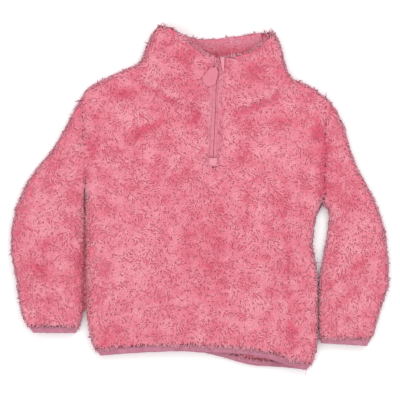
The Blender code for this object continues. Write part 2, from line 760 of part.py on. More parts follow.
def make_slider(finish):
    """The slider on the tapes, with two lugs that hold the pin of the pull."""
    seat = hardware_seat("slider_seat", 0)
    pin_seat = hardware_seat("pin_seat", PULL_TURN)
    half_width, half_length = SLIDER_WIDTH / 2, SLIDER_LENGTH / 2
    low = (-half_width, -half_length, SLIDER_PROUD - SLIDER_PLATE)
    slider = box("zip_slider", low, (half_width, half_length, SLIDER_PROUD), finish, 0.5)
    slider.parent = seat
    lug_top = PIN_HEIGHT + PIN_RADIUS + 0.5
    for name, start in (("lug_a", LUG_INNER), ("lug_b", -LUG_INNER - LUG_THICKNESS)):
        lug_low = (start, -LUG_REACH, SLIDER_PROUD - SLIDER_PLATE / 2)
        lug = box(name, lug_low, (start + LUG_THICKNESS, LUG_REACH, lug_top), finish)
        lug.parent = pin_seat
        combine(slider, lug, "UNION")
    pin = rod("pin", PIN_RADIUS, 2 * LUG_INNER + LUG_THICKNESS, finish, PIN_HEIGHT)
    pin.parent = pin_seat
    combine(slider, pin, "UNION")


def tab_outline(steps=10):
    """Outline of the pull's tab on its own plane: a narrow neck at the pin, widening to a round end."""
    half = PULL_WIDTH / 2
    half_neck = EYE_WIDTH / 2 - 0.2
    centre = half - PULL_LENGTH
    spots = []
    for step in range(steps + 1):
        angle = math.pi * step / steps
        spots.append((-half * math.cos(angle), centre - half * math.sin(angle)))
    waist = -PULL_NECK
    right_half = [(half_neck, 0), (half_neck, -3.2), (half * 0.62, waist)]
    left_half = [(-x, y) for x, y in right_half]
    return [*left_half, *spots, *right_half[::-1]]


def make_pull(finish):
    """The rounded tab with its eye round the slider's pin. The empty that carries it lies on the pin's axis."""
    seat = hardware_seat("pull_seat", PULL_TURN)
    hinge = bpy.data.objects.new("pull_hinge", None)
    hinge.parent = seat
    hinge.location = (0, 0, PIN_HEIGHT * MM)
    bpy.context.scene.collection.objects.link(hinge)
    drop = PULL_UNDERSIDE - PIN_HEIGHT
    shape = bmesh.new()
    outline = [shape.verts.new((x * MM, y * MM, drop * MM)) for x, y in tab_outline()]
    face = shape.faces.new(outline)
    raised = bmesh.ops.extrude_face_region(shape, geom=[face])["geom"]
    lifted = [item for item in raised if isinstance(item, bmesh.types.BMVert)]
    bmesh.ops.translate(shape, vec=(0, 0, PULL_THICKNESS * MM), verts=lifted)
    pull = add_object("zip_pull", shape, finish)
    pull.parent = hinge
    eye = rod("eye", EYE_RADIUS, EYE_WIDTH, finish, 0)
    hole = rod("eye_hole", EYE_HOLE, EYE_WIDTH + 2, finish, 0)
    for helper, operation in ((eye, "UNION"), (hole, "DIFFERENCE")):
        helper.parent = hinge
        combine(pull, helper, operation)


def clear_scene():
    for item in list(bpy.data.objects):
        bpy.data.objects.remove(item)


clear_scene()
fleece_finish = material("high pile fleece", FLEECE_PINK, 0.95)
knit_finish = material("knitted binding", BINDING_MAUVE, 0.85)
lining_finish = material("brushed lining", LINING_PINK, 0.9)
tape_finish = material("zip tape", TAPE_PINK, 0.7)
trim_finish = material("woven trim", TRIM_PINK, 0.7)
front_hem, back_hem, slit_edges = make_body(fleece_finish)
make_sleeve("right", SLEEVE_RIGHT, fleece_finish, knit_finish)
make_sleeve("left", SLEEVE_LEFT, fleece_finish, knit_finish)
make_hem_binding(front_hem, back_hem, knit_finish)
collar_edges = make_collar(fleece_finish, lining_finish)
zip_edges = [np.vstack(pair) for pair in zip(slit_edges, collar_edges)]
make_zip(*zip_edges, tape_finish, trim_finish)
make_slider(material("painted zinc", TAPE_PINK, 0.45))
make_pull(material("moulded rubber", TRIM_PINK, 0.6))
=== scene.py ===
"""A child's fleece pullover laid flat on its back, front up: its looks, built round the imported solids.

Places are metres in the solids' frame: +Y to the collar, +X to the wearer's left, and the ground at z = 0.
"""

import itertools
import math
from typing import NamedTuple

import bmesh
import bpy
import numpy as np
from mathutils import Matrix, Vector
from mathutils.bvhtree import BVHTree


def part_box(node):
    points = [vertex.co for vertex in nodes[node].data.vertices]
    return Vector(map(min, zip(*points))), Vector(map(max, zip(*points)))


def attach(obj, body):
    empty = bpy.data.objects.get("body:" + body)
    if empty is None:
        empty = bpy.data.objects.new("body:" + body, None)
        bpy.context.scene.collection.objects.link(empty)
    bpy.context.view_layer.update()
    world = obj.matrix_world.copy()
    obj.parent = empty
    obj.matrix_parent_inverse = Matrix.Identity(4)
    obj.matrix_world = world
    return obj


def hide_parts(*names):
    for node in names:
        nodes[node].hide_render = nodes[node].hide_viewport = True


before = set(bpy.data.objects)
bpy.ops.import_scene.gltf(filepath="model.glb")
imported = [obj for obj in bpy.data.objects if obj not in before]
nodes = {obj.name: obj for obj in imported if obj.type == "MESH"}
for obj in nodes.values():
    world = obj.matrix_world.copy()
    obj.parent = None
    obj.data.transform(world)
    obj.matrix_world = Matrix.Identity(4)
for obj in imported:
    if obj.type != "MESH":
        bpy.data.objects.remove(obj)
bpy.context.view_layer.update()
MM = 0.001


# Camera, lights and floor
# The garment lies on a white sweep and is seen from straight above, under a large even light.

VIEW_WIDTH = 600 * MM
CAMERA_HEIGHT = 3000 * MM
CLOTH_LEVEL = 12 * MM
VIEW_CENTRE_Y = -3.75 * MM
SENSOR_MM = 36.0
DAYLIGHT = 0.98
FLOOR_DROP = 0.3 * MM
FLOOR_HALF = 4000 * MM

camera_data = bpy.data.cameras.new("camera")
camera_data.sensor_width = SENSOR_MM
camera_data.lens = SENSOR_MM * CAMERA_HEIGHT / VIEW_WIDTH
camera = bpy.data.objects.new("camera", camera_data)
camera.location = (0, VIEW_CENTRE_Y, CAMERA_HEIGHT + CLOTH_LEVEL)
bpy.context.scene.collection.objects.link(camera)
bpy.context.scene.camera = camera
bpy.context.scene.view_settings.view_transform = "Standard"


def linear(colour):
    """The four linear values of an sRGB hex colour."""
    channels = [int(colour[place:place + 2], 16) / 255 for place in (1, 3, 5)]
    return [c / 12.92 if c <= 0.04045 else ((c + 0.055) / 1.055) ** 2.4 for c in channels] + [1.0]


def add_node(tree, kind, settings=None, **links):
    """A node of a material, with its settings and inputs. An input is a value or another node's output."""
    made = tree.nodes.new(kind)
    for key, value in (settings or {}).items():
        setattr(made, key, value)
    for key, value in links.items():
        socket = made.inputs[key.replace("_", " ")]
        if isinstance(value, bpy.types.NodeSocket):
            tree.links.new(value, socket)
        else:
            socket.default_value = value
    return made


def new_material(name):
    """An empty material and its node tree."""
    made = bpy.data.materials.new(name)
    made.use_nodes = True
    made.node_tree.nodes.clear()
    return made, made.node_tree


world = bpy.data.worlds.new("studio")
world.use_nodes = True
world.node_tree.nodes["Background"].inputs["Color"].default_value = linear("#ffffff")
world.node_tree.nodes["Background"].inputs["Strength"].default_value = DAYLIGHT
bpy.context.scene.world = world


def softbox(name, place, size, power):
    """A square light that faces the middle of the garment."""
    data = bpy.data.lights.new(name, "AREA")
    data.size = size
    data.energy = power
    light = bpy.data.objects.new(name, data)
    light.location = place
    light.rotation_euler = (-Vector(place)).to_track_quat("-Z", "Y").to_euler()
    bpy.context.scene.collection.objects.link(light)


softbox("key", (0.9, 1.1, 1.5), 0.9, 9)
softbox("fill", (-1.2, -0.5, 1.8), 1.6, 7)

floor_shape = bmesh.new()
bmesh.ops.create_grid(floor_shape, x_segments=1, y_segments=1, size=FLOOR_HALF)
bmesh.ops.translate(floor_shape, vec=(0, 0, -FLOOR_DROP), verts=floor_shape.verts)
floor_mesh = bpy.data.meshes.new("floor")
floor_shape.to_mesh(floor_mesh)
floor_shape.free()
floor = bpy.data.objects.new("floor", floor_mesh)
bpy.context.scene.collection.objects.link(floor)

# A roll of uncoated background paper: white and quite matt, so that it takes only a soft shadow
paper, tree = new_material("white paper")
shader = add_node(tree, "ShaderNodeBsdfPrincipled", Base_Color=linear("#ffffff"), Roughness=0.9)
add_node(tree, "ShaderNodeOutputMaterial", Surface=shader.outputs["BSDF"])
floor_mesh.materials.append(paper)


# Knitted ground of the fleece
# Each fleece piece is a thin knitted cloth that carries the pile. It keeps the form of its solid, with the
# pile's depth taken off the outside, and the main creases are pressed in along short runs.

PILE_DEPTH = 1.7 * MM
RIM_DEPTH = 2.0 * MM
FREE_REACH = 2.2 * MM
RIM_ANGLE = math.radians(55)
JOIN_REACH = 0.002 * MM
SKIN = 0.05 * MM
LOOP_SIZE = 1.613 * MM
GROUND_TUFT = 6.25 * MM


class Crease(NamedTuple):
    """A soft ridge along a straight run, or a trough where the rise is negative. All in millimetres."""

    from_x: float
    from_y: float
    to_x: float
    to_y: float
    half_width: float
    rise: float


NECK_SEAM = [
    Crease(-84, 175, -39, 151, 2.6, -1.8),
    Crease(-39, 151, -8, 136, 2.6, -1.8),
    Crease(58, 135, 117, 156, 2.6, -1.8),
    Crease(117, 156, 146, 167, 2.6, -1.4),
]
FRONT_CREASES = NECK_SEAM + [
    Crease(124, 30, 130, -60, 7, -1.6),
    Crease(130, -60, 136, -215, 6, -2.2),
    Crease(118, 20, 122, -190, 8, 1.0),
    Crease(-108, 94, -56, 124, 6, -1.8),
    Crease(-150, 60, -128, 100, 6, -1.2),
    Crease(-150, 150, -112, 165, 7, -1.4),
    Crease(-120, -20, -84, -60, 8, -1.2),
    Crease(-70, -85, -20, -125, 8, -1.3),
    Crease(10, -95, 62, -85, 8, -1.0),
    Crease(62, 96, 88, 120, 6, -1.3),
    Crease(66, 62, 110, 48, 7, -1.1),
    Crease(-30, 40, -62, -10, 9, -1.1),
    Crease(70, -20, 96, -74, 8, -1.2),
    Crease(-140, -150, -96, -196, 8, -1.3),
    Crease(-40, -160, 28, -196, 9, -1.2),
    Crease(88, -150, 62, -206, 8, -1.2),
]
SLEEVE_CREASES = [
    Crease(-262, -90, -205, -55, 7, -1.4),
    Crease(-246, -112, -196, -146, 7, -1.3),
    Crease(-228, 40, -196, 4, 7, -1.0),
    Crease(-250, -20, -214, -34, 6, -0.9),
    Crease(200, -160, 250, -125, 6, -1.8),
    Crease(198, -128, 258, -84, 6, -1.5),
    Crease(200, 92, 214, 40, 7, -1.0),
    Crease(214, -6, 258, -36, 7, -1.1),
]
COLLAR_CREASES = NECK_SEAM + [
    Crease(-72, 168, -40, 196, 6, -1.3),
    Crease(-60, 214, -20, 200, 6, -0.9),
    Crease(60, 168, 98, 190, 6, -1.5),
    Crease(84, 214, 112, 200, 6, -1.0),
    Crease(-84, 206, -56, 244, 6, -0.8),
]
BACK_CREASES = [
    Crease(-120, 120, -30, 60, 9, -1.2),
    Crease(40, 130, 120, 70, 9, -1.2),
    Crease(-100, -60, -20, -120, 10, -1.2),
    Crease(30, -80, 120, -150, 10, -1.2),
    Crease(-130, -160, -60, -200, 9, -1.0),
]


def nearness(places, run):
    """How close places in metres are to a run: 1 on it, falling off over its half width."""
    start = np.array([run.from_x, run.from_y]) * MM
    whole = np.array([run.to_x, run.to_y]) * MM - start
    share = np.clip((places[:, :2] - start) @ whole / (whole @ whole), 0, 1)
    away = np.linalg.norm(places[:, :2] - start - share[:, None] * whole, axis=1)
    return np.exp(-((away / (run.half_width * MM)) ** 2))


def crease_rise(places, creases):
    """Sum of the creases over places, in metres."""
    return sum(crease.rise * MM * nearness(places, crease) for crease in creases)


def merged(node):
    """A bmesh of a node's solid, with its loose triangles joined."""
    shape = bmesh.new()
    shape.from_mesh(nodes[node].data)
    bmesh.ops.remove_doubles(shape, verts=shape.verts, dist=JOIN_REACH)
    return shape


def refined(node):
    """A bmesh of a node's solid with every face split in four."""
    shape = merged(node)
    bmesh.ops.subdivide_edges(shape, edges=shape.edges, cuts=1, use_grid_fill=True)
    bmesh.ops.triangulate(shape, faces=shape.faces)
    shape.normal_update()
    return shape


def islands(faces):
    """The faces in groups that join across soft edges, largest area first, each in the mesh's order."""
    left = set(faces)
    groups = []
    while left:
        queue = [left.pop()]
        group = []
        while queue:
            face = queue.pop()
            group.append(face)
            for edge in face.edges:
                if len(edge.link_faces) == 2 and edge.calc_face_angle() < RIM_ANGLE:
                    beside = [other for other in edge.link_faces if other in left]
                    left.difference_update(beside)
                    queue.extend(beside)
        groups.append(sorted(group, key=lambda face: face.index))
    return sorted(groups, key=lambda group: (-sum(face.calc_area() for face in group), group[0].index))


def two_sides(shape, facing):
    """The outer and the inner faces of a cloth wall. An inner one looks across the hollow at more cloth."""
    inner = set()
    for face in shape.faces:
        start = face.calc_center_median() + face.normal * SKIN
        if any(solid.ray_cast(start, face.normal)[0] for solid in facing):
            inner.add(face)
    outer_faces = islands(face for face in shape.faces if face not in inner)[0]
    inner_faces = islands(inner)[0]
    return outer_faces, inner_faces


def sheet_normals(faces):
    """The mean normal at each point of a group of faces."""
    normals = {}
    for face in faces:
        for vert in face.verts:
            normals[vert] = normals.get(vert, Vector((0, 0, 0))) + face.normal * face.calc_area()
    return {vert: normal.normalized() for vert, normal in normals.items()}


def add_piece(name, shape, finish, body="garment", smooth_angle=50):
    """A finished piece from a bmesh, riding on a body."""
    mesh = bpy.data.meshes.new(name)
    shape.to_mesh(mesh)
    shape.free()
    mesh.shade_smooth()
    mesh.set_sharp_from_angle(angle=math.radians(smooth_angle))
    mesh.materials.append(finish)
    piece = bpy.data.objects.new(name, mesh)
    bpy.context.scene.collection.objects.link(piece)
    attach(piece, body)
    return piece


# Warp-knitted polyester, dyed with the pile: matt, and deeper in colour because it lies in the pile's shade.
# Real loops are half a millimetre, and are drawn at three times that so that they show.
ground_cloth, tree = new_material("warp knit ground")
place = add_node(tree, "ShaderNodeTexCoord").outputs["Object"]
loops = add_node(tree, "ShaderNodeTexVoronoi", Vector=place, Scale=1 / LOOP_SIZE)
tufts = add_node(tree, "ShaderNodeTexNoise", Vector=place, Scale=1 / GROUND_TUFT, Detail=4.0)
tone = add_node(tree, "ShaderNodeValToRGB", Fac=tufts.outputs["Fac"])
tone.color_ramp.elements[0].position = 0.35
tone.color_ramp.elements[0].color = linear("#e3637c")
tone.color_ramp.elements[1].position = 0.7
tone.color_ramp.elements[1].color = linear("#ea8295")
relief = add_node(tree, "ShaderNodeBump", Height=loops.outputs["Distance"], Strength=0.6, Distance=0.8 * MM)
shader = add_node(
    tree,
    "ShaderNodeBsdfPrincipled",
    Base_Color=tone.outputs["Color"],
    Roughness=0.95,
    Sheen_Weight=0.15,
    Normal=relief.outputs["Normal"],
)
add_node(tree, "ShaderNodeOutputMaterial", Surface=shader.outputs["BSDF"])

FLEECE = ("front", "back", "sleeve_left", "sleeve_right", "collar")
BINDINGS = ("hem_binding", "cuff_binding_left", "cuff_binding_right")

solids = {node: BVHTree.FromBMesh(merged(node)) for node in FLEECE}
covers = dict(solids)
for node in (*BINDINGS, "zip_tape_left", "zip_tape_right"):
    covers[node] = BVHTree.FromBMesh(merged(node))


class TipSheet(NamedTuple):
    """Triangles of the surface that the pile's tips reach, with the normals at their corners."""

    corners: np.ndarray
    normals: np.ndarray


def tip_sheet(faces):
    """The faces as arrays of corners and corner normals."""
    normals = sheet_normals(faces)
    corners = np.array([[vert.co for vert in face.verts] for face in faces])
    corner_normals = np.array([[normals[vert] for vert in face.verts] for face in faces])
    return TipSheet(corners, corner_normals)


def is_free(face):
    """Whether a face has nothing of the garment close in front of it."""
    start = face.calc_center_median() + face.normal * SKIN
    return not any(cover.ray_cast(start, face.normal, FREE_REACH)[0] for cover in covers.values())


def make_ground(node, facing, creases):
    """The knitted ground of one fleece piece. Returns the piece and the sheet that its pile's tips reach."""
    shape = refined(node)
    shape.faces.index_update()
    outer_faces, inner_faces = two_sides(shape, [solids[name] for name in facing])
    normals = sheet_normals(outer_faces)
    rises = crease_rise(np.array([vert.co for vert in normals]), creases)
    for (vert, normal), rise in zip(normals.items(), rises):
        vert.co += normal * float(rise) * normal.z**2
    shape.normal_update()
    sides = {*outer_faces, *inner_faces}
    open_rims = [face for face in shape.faces if face not in sides and is_free(face)]
    tips = tip_sheet(outer_faces + open_rims)
    for faces, depth in ((outer_faces, PILE_DEPTH), (open_rims, RIM_DEPTH)):
        for vert, normal in sheet_normals(faces).items():
            vert.co -= normal * depth
    piece = add_piece(f"{node}_ground", shape, ground_cloth)
    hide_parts(node)
    return piece, tips


body_pair = ("front", "back")
front_ground, front_tips = make_ground("front", body_pair, FRONT_CREASES)
back_ground, back_tips = make_ground("back", body_pair, BACK_CREASES)
left_ground, left_tips = make_ground("sleeve_left", ("sleeve_left",), SLEEVE_CREASES)
right_ground, right_tips = make_ground("sleeve_right", ("sleeve_right",), SLEEVE_CREASES)
collar_ground, collar_tips = make_ground("collar", ("collar",), COLLAR_CREASES)


# Pile of the fleece
# The pile is long polyester staple that washing has curled into small locks. Each lock roots in the ground,
# bends over and lies along the cloth, in whorls that turn every few centimetres. It's combed short and flat
# along the zip, along the topstitching and where the pull presses on it.

LOCK_LENGTH = 8.2 * MM
LOCK_WIDTH = 1.85 * MM
LENGTH_RANGE = (0.7, 1.25)
WIDTH_RANGE = (0.75, 1.2)
LOCK_SHARES = (0.36, 0.34, 0.30)
CURL = 0.5
RIDGE = 0.4
TAPER = 0.85
PRESSED_LEVEL = -0.1 * MM
LINING_PILE = 1.1 * MM
# The collar lining's pile is painted paler above the first level, fading in over the second: painted light on
# the top of its roll
LINING_LIT_ABOVE = 219 * MM
LIT_TOP_FADE = 14 * MM
# Tip and root colours at the deep and the light end of the pile's tone. The roots are deeper than the tips:
# painted shade between the locks.
DEEP_TIP = np.array(linear("#d8697f")[:3])
LIGHT_TIP = np.array(linear("#e997a5")[:3])
DEEP_ROOT = np.array(linear("#e05b75")[:3])
LIGHT_ROOT = np.array(linear("#ea8395")[:3])
# Greyish mauve that locks at an edge are tinted towards: a painted sheen of the fibres along the outline
RIM_SHEEN_TIP = np.array(linear("#bd899b")[:3])
# Paler pink towards which the collar lining's top is tinted: painted light
LIT_TOP_TIP = np.array(linear("#de96a8")[:3])
ZIP_RUN = Crease(25, 214, 19, 47, 13, 0)
SLEEVE_GAP = Crease(-173, -14, -171, -172, 11, 0)
# How flat the pile is pressed along a run
PRESSED_RUNS = [
    (Crease(25, 214, 19, 44, 11, 0), 0.55),
    (Crease(0, 131, -2, 41, 2.6, 0), 0.8),
    (Crease(52, 196, 54, 140, 2.6, 0), 0.7),
    (Crease(61, 109, 61, 85, 2.6, 0), 0.6),
    (Crease(61, 134, 90, 147, 2.4, 0), 0.7),
    (Crease(-62, 136, -20, 118, 2.6, 0), 0.5),
    (Crease(187, 118, 186, 14, 2.4, 0), 0.7),
    (Crease(8, 149, 8, 131, 7, 0), 0.7),
]


class Spot(NamedTuple):
    """An oval area, with its middle and half sizes in millimetres. A positive tone is lighter."""

    x: float
    y: float
    half_x: float
    half_y: float
    tone: float


# How much lighter, or deeper where negative, the pile is painted along a run: painted shade in creases, under
# the neck seam and by the armholes, and a painted highlight on the ridge above the neck seam
LIGHT_AND_SHADE_RUNS = [
    (Crease(-84, 170, -39, 147, 5, 0), -0.8),
    (Crease(-39, 147, -8, 132, 5, 0), -0.7),
    (Crease(58, 131, 117, 152, 5, 0), -0.7),
    (Crease(-80, 179, -37, 156, 4, 0), 0.5),
    (Crease(58, 139, 117, 161, 4, 0), 0.5),
    (Crease(124, 25, 136, -225, 6, 0), -0.5),
    (Crease(-180, -70, -178, -170, 6, 0), -0.7),
    (Crease(200, -160, 250, -125, 6, 0), -0.5),
    (Crease(198, -128, 258, -84, 6, 0), -0.4),
    (Crease(-262, -90, -205, -55, 7, 0), -0.35),
    (Crease(-108, 88, -56, 118, 8, 0), -0.8),
    (Crease(-52, 4, -15, 56, 8, 0), -0.4),
    (Crease(-160, 128, -158, 55, 7, 0), -0.5),
    (Crease(172, 124, 190, 72, 6, 0), -0.8),
    (Crease(180, 76, 186, 8, 7, 0), -0.8),
    (Crease(187, 112, 186, 14, 3.5, 0), -0.6),
]
# Ovals of lighter and deeper pile: partly the fleece's own patchy tone, partly painted shade by the armholes
# and in hollows, and painted light on the sleeves
TONE_AND_SHADE_SPOTS = [
    Spot(-118, 160, 20, 9, -0.6),
    Spot(-30, 208, 13, 18, -0.5),
    Spot(-14, 172, 14, 16, -0.5),
    Spot(-9, 120, 10, 11, -0.7),
    Spot(57, 121, 10, 11, -0.8),
    Spot(88, 190, 20, 14, -0.7),
    Spot(118, 114, 24, 9, -0.6),
    Spot(62, 62, 16, 8, -0.5),
    Spot(-72, 35, 11, 13, -0.5),
    Spot(-128, -206, 18, 12, -0.6),
    Spot(12, -70, 34, 56, -0.4),
    Spot(33, -131, 7, 22, -0.4),
    Spot(-70, -140, 24, 14, -0.3),
    Spot(-240, -106, 18, 15, -0.7),
    Spot(217, 12, 16, 24, -0.5),
    Spot(172, 92, 13, 12, -0.5),
    Spot(178, -190, 10, 16, -0.3),
    Spot(-66, 190, 18, 14, 0.4),
    Spot(-110, 122, 22, 12, 0.4),
    Spot(112, 72, 24, 14, 0.4),
    Spot(-10, 70, 12, 26, 0.4),
    Spot(42, 120, 8, 40, 0.4),
    Spot(8, 140, 9, 10, 0.7),
    Spot(-98, -110, 34, 56, 0.35),
    Spot(82, -165, 26, 24, 0.35),
    Spot(-232, -30, 22, 36, 0.4),
    Spot(232, -60, 18, 30, 0.45),
    Spot(226, -150, 20, 30, 0.35),
]


def drift(places, size, seed):
    """Smooth noise from about -1 to 1 that changes over a distance of `size` metres."""
    rng = np.random.default_rng(seed)
    total = np.zeros(len(places))
    for turn, wave, phase in rng.uniform((0, 0.6, 0), (math.tau, 1.6, math.tau), (7, 3)):
        along = places[:, 0] * math.cos(turn) + places[:, 1] * math.sin(turn) + 0.7 * places[:, 2]
        total += np.sin(math.tau * wave / size * along + phase)
    return total / 2.4


def walk_on(*sheets):
    """A tree to find the nearest point of the sheets."""
    points = np.concatenate([sheet.corners for sheet in sheets]).reshape(-1, 3)
    return BVHTree.FromPolygons(points.tolist(), np.arange(len(points)).reshape(-1, 3).tolist())


garment_walk = walk_on(front_tips, back_tips, left_tips, right_tips, collar_tips)


def spread_roots(sheet, count, weight, seed):
    """Random places on a tip sheet, with the normals there, as many to an area as the weight says."""
    rng = np.random.default_rng(seed)
    sides = sheet.corners[:, 1:] - sheet.corners[:, :1]
    areas = np.linalg.norm(np.cross(sides[:, 0], sides[:, 1]), axis=1) * weight(sheet.corners.mean(axis=1))
    pick = rng.choice(len(areas), count, p=areas / areas.sum())
    first, second = rng.random((2, count, 1))
    root = np.sqrt(first)
    shares = np.stack([1 - root, root * (1 - second), root * second], axis=1)
    places = (sheet.corners[pick] * shares).sum(axis=1)
    normals = (sheet.normals[pick] * shares).sum(axis=1)
    return places, normals / np.linalg.norm(normals, axis=1, keepdims=True)


def along_cloth(ways, normals):
    """The ways laid flat on the cloth, each with a length of one."""
    ways = ways - (ways * normals).sum(axis=1, keepdims=True) * normals
    return ways / np.maximum(np.linalg.norm(ways, axis=1, keepdims=True), 1e-6)


WHORLS = ((70 * MM, 1.0, 11), (26 * MM, 0.6, 12))
LIE_SPREAD = 0.4
ZIP_PARTING = 1.4


def lie_of_pile(places, normals, rng):
    """The way that each lock lies along the cloth: down the garment, in whorls, and away from the zip."""
    turn = -math.pi / 2 + sum(strength * drift(places, size, seed) for size, strength, seed in WHORLS)
    turn += rng.normal(0, LIE_SPREAD, len(places))
    heading = np.stack([np.cos(turn), np.sin(turn), np.zeros(len(places))], axis=1)
    zip_x = np.interp(places[:, 1], (47 * MM, 212 * MM), (19 * MM, 25 * MM))
    heading[:, 0] += np.sign(places[:, 0] - zip_x) * ZIP_PARTING * nearness(places, ZIP_RUN)
    return along_cloth(heading, normals)


ABOVE = 60 * MM
DOWN = Vector((0, 0, -1))
UP = Vector((0, 0, 1))
OUTLINE_TURNS = 6
OUTLINE_REACHES = (2.4 * MM, 5.5 * MM, 8 * MM)
OUTLINE_SHARE = 1 / 3
OUTLINE_DROP = 7 * MM


def fall_on(surface, x, y, way=DOWN):
    """Where a plumb line at x and y meets a surface, from above or from below, and the normal there."""
    return surface.ray_cast(Vector((x, y, -way.z * ABOVE)), way)[:2]


def outline_pull(places):
    """How near each place is to an edge of what lies below it, and the way over that edge."""
    pull = np.zeros((len(places), 3))
    turns = [math.tau * step / OUTLINE_TURNS for step in range(OUTLINE_TURNS)]
    ways = [Vector((math.cos(turn), math.sin(turn), 0)) for turn in turns]
    for index, place in enumerate(places):
        for way, reach in itertools.product(ways, OUTLINE_REACHES):
            beyond = Vector(place) + way * reach
            hit = fall_on(garment_walk, beyond.x, beyond.y)[0]
            if hit is None or hit.z < place[2] - OUTLINE_DROP:
                pull[index] += way * OUTLINE_SHARE
    amount = np.linalg.norm(pull, axis=1)
    return np.clip(amount, 0, 1), pull / np.maximum(amount, 1e-6)[:, None]


class Comb(NamedTuple):
    """The way of each lock, and from 0 to 1 how pressed, near an edge and bridging the sleeve's gap it is."""

    heading: np.ndarray
    pressed: np.ndarray
    edge: np.ndarray
    bridged: np.ndarray


EDGE_TURN = 1.8
GAP_TURN = 2
ZIP_CALM = 0.8
GAP_CALM = 0.7


def comb_pile(places, normals, lining, rng):
    """Lays each lock. Near an edge it turns out over it, and beside the sleeve's gap across the gap."""
    pressed = np.zeros(len(places))
    for run, amount in PRESSED_RUNS:
        pressed = np.maximum(pressed, amount * nearness(places, run))
    heading = lie_of_pile(places, normals, rng)
    if lining:
        return Comb(heading, pressed, np.zeros(len(places)), np.zeros(len(places)))
    edge, outward = outline_pull(places)
    edge = edge * (1 - ZIP_CALM * nearness(places, ZIP_RUN))
    bridged = nearness(places, SLEEVE_GAP)
    heading += outward * (edge * EDGE_TURN)[:, None]
    heading[:, 0] += np.sign(SLEEVE_GAP.from_x * MM - places[:, 0]) * bridged * GAP_TURN
    return Comb(along_cloth(heading, normals), pressed, edge * (1 - GAP_CALM * bridged), bridged)


TUFT_SIZE = 9 * MM
FREE_EDGE = 0.6
EDGE_GROWTH = 0.15
TUFT_GROWTH = 0.4


def trace_spines(places, normals, comb, length, walk, rng):
    """Four points along each lock and the normals there. It walks over the surface until it comes free."""
    count = len(places)
    free_step = np.where(rng.random(count) < np.maximum(comb.edge * FREE_EDGE, comb.bridged), 2, 3)
    free_step[(comb.bridged > 0.75) & (normals[:, 2] > 0.999)] = 1
    reach = length * rng.uniform(*LENGTH_RANGE, count) * (1 - 0.5 * comb.pressed + 0.2 * comb.bridged)
    reach *= 1 + comb.edge * (EDGE_GROWTH + TUFT_GROWTH * drift(places, TUFT_SIZE, 13))
    bend = rng.normal(0, CURL, count)
    spine = np.empty((count, 4, 3))
    ups = np.empty((count, 4, 3))
    spine[:, 0] = places
    ups[:, 0] = normals
    for lock in range(count):
        spot = Vector(places[lock])
        way = Vector(comb.heading[lock])
        normal = Vector(normals[lock])
        for step, share in enumerate(LOCK_SHARES, start=1):
            spot = spot + way * float(reach[lock] * share)
            if step < free_step[lock]:
                spot, normal, _, _ = walk.find_nearest(spot)
            elif comb.edge[lock] or comb.bridged[lock] > 0.2:
                way.z *= 0.25
            way = (way - normal * way.dot(normal)).normalized()
            way = Matrix.Rotation(float(bend[lock]), 3, normal) @ way
            spine[lock, step] = spot
            ups[lock, step] = normal
    return spine, ups


def sink_of_locks(normals, comb, frays, rng):
    """How deep each lock's points lie, in pile depths. Where the pile frays, tips stand past the surface."""
    count = len(normals)
    fray = np.clip(1.1 - np.abs(normals[:, 2]), 0, 1) * rng.uniform(0, 1.1, count) * frays
    fray *= 1 + 1.5 * comb.bridged
    shares = [
        np.full(count, 1.0),
        rng.uniform(0.25, 0.5, count) + 0.35 * comb.pressed,
        rng.uniform(0.0, 0.3, count) + 0.45 * comb.pressed,
        rng.uniform(-0.15, 0.45, count) + 0.5 * comb.pressed - fray,
    ]
    return np.stack(shares, axis=1)


# Each lock is a three-sided prism with a point at each end: its root is corner 0 and its tip corner 7
LOCK_FACES = [(0, 2, 1), (0, 3, 2), (0, 1, 3)]
for near, far in ((1, 2), (2, 3), (3, 1)):
    LOCK_FACES += [(near, far, far + 3), (near, far + 3, near + 3), (near + 3, far + 3, 7)]

MIDDLE_TONE = 0.58
PATCHES = ((34 * MM, 0.2, 21), (13 * MM, 0.14, 22))
TONE_SPREAD = 0.12
TONE_LIMITS = (-0.25, 1.1)
ROOT_SHARE = 0.6
# Share of the tip colour at each corner, from the root to the tip: the deeper root is painted shade between
# the locks
CORNER_SHADES = np.array([0, 0.45, 0.45, 0.55, 0.85, 0.85, 0.95, 1.0])[None, :, None]


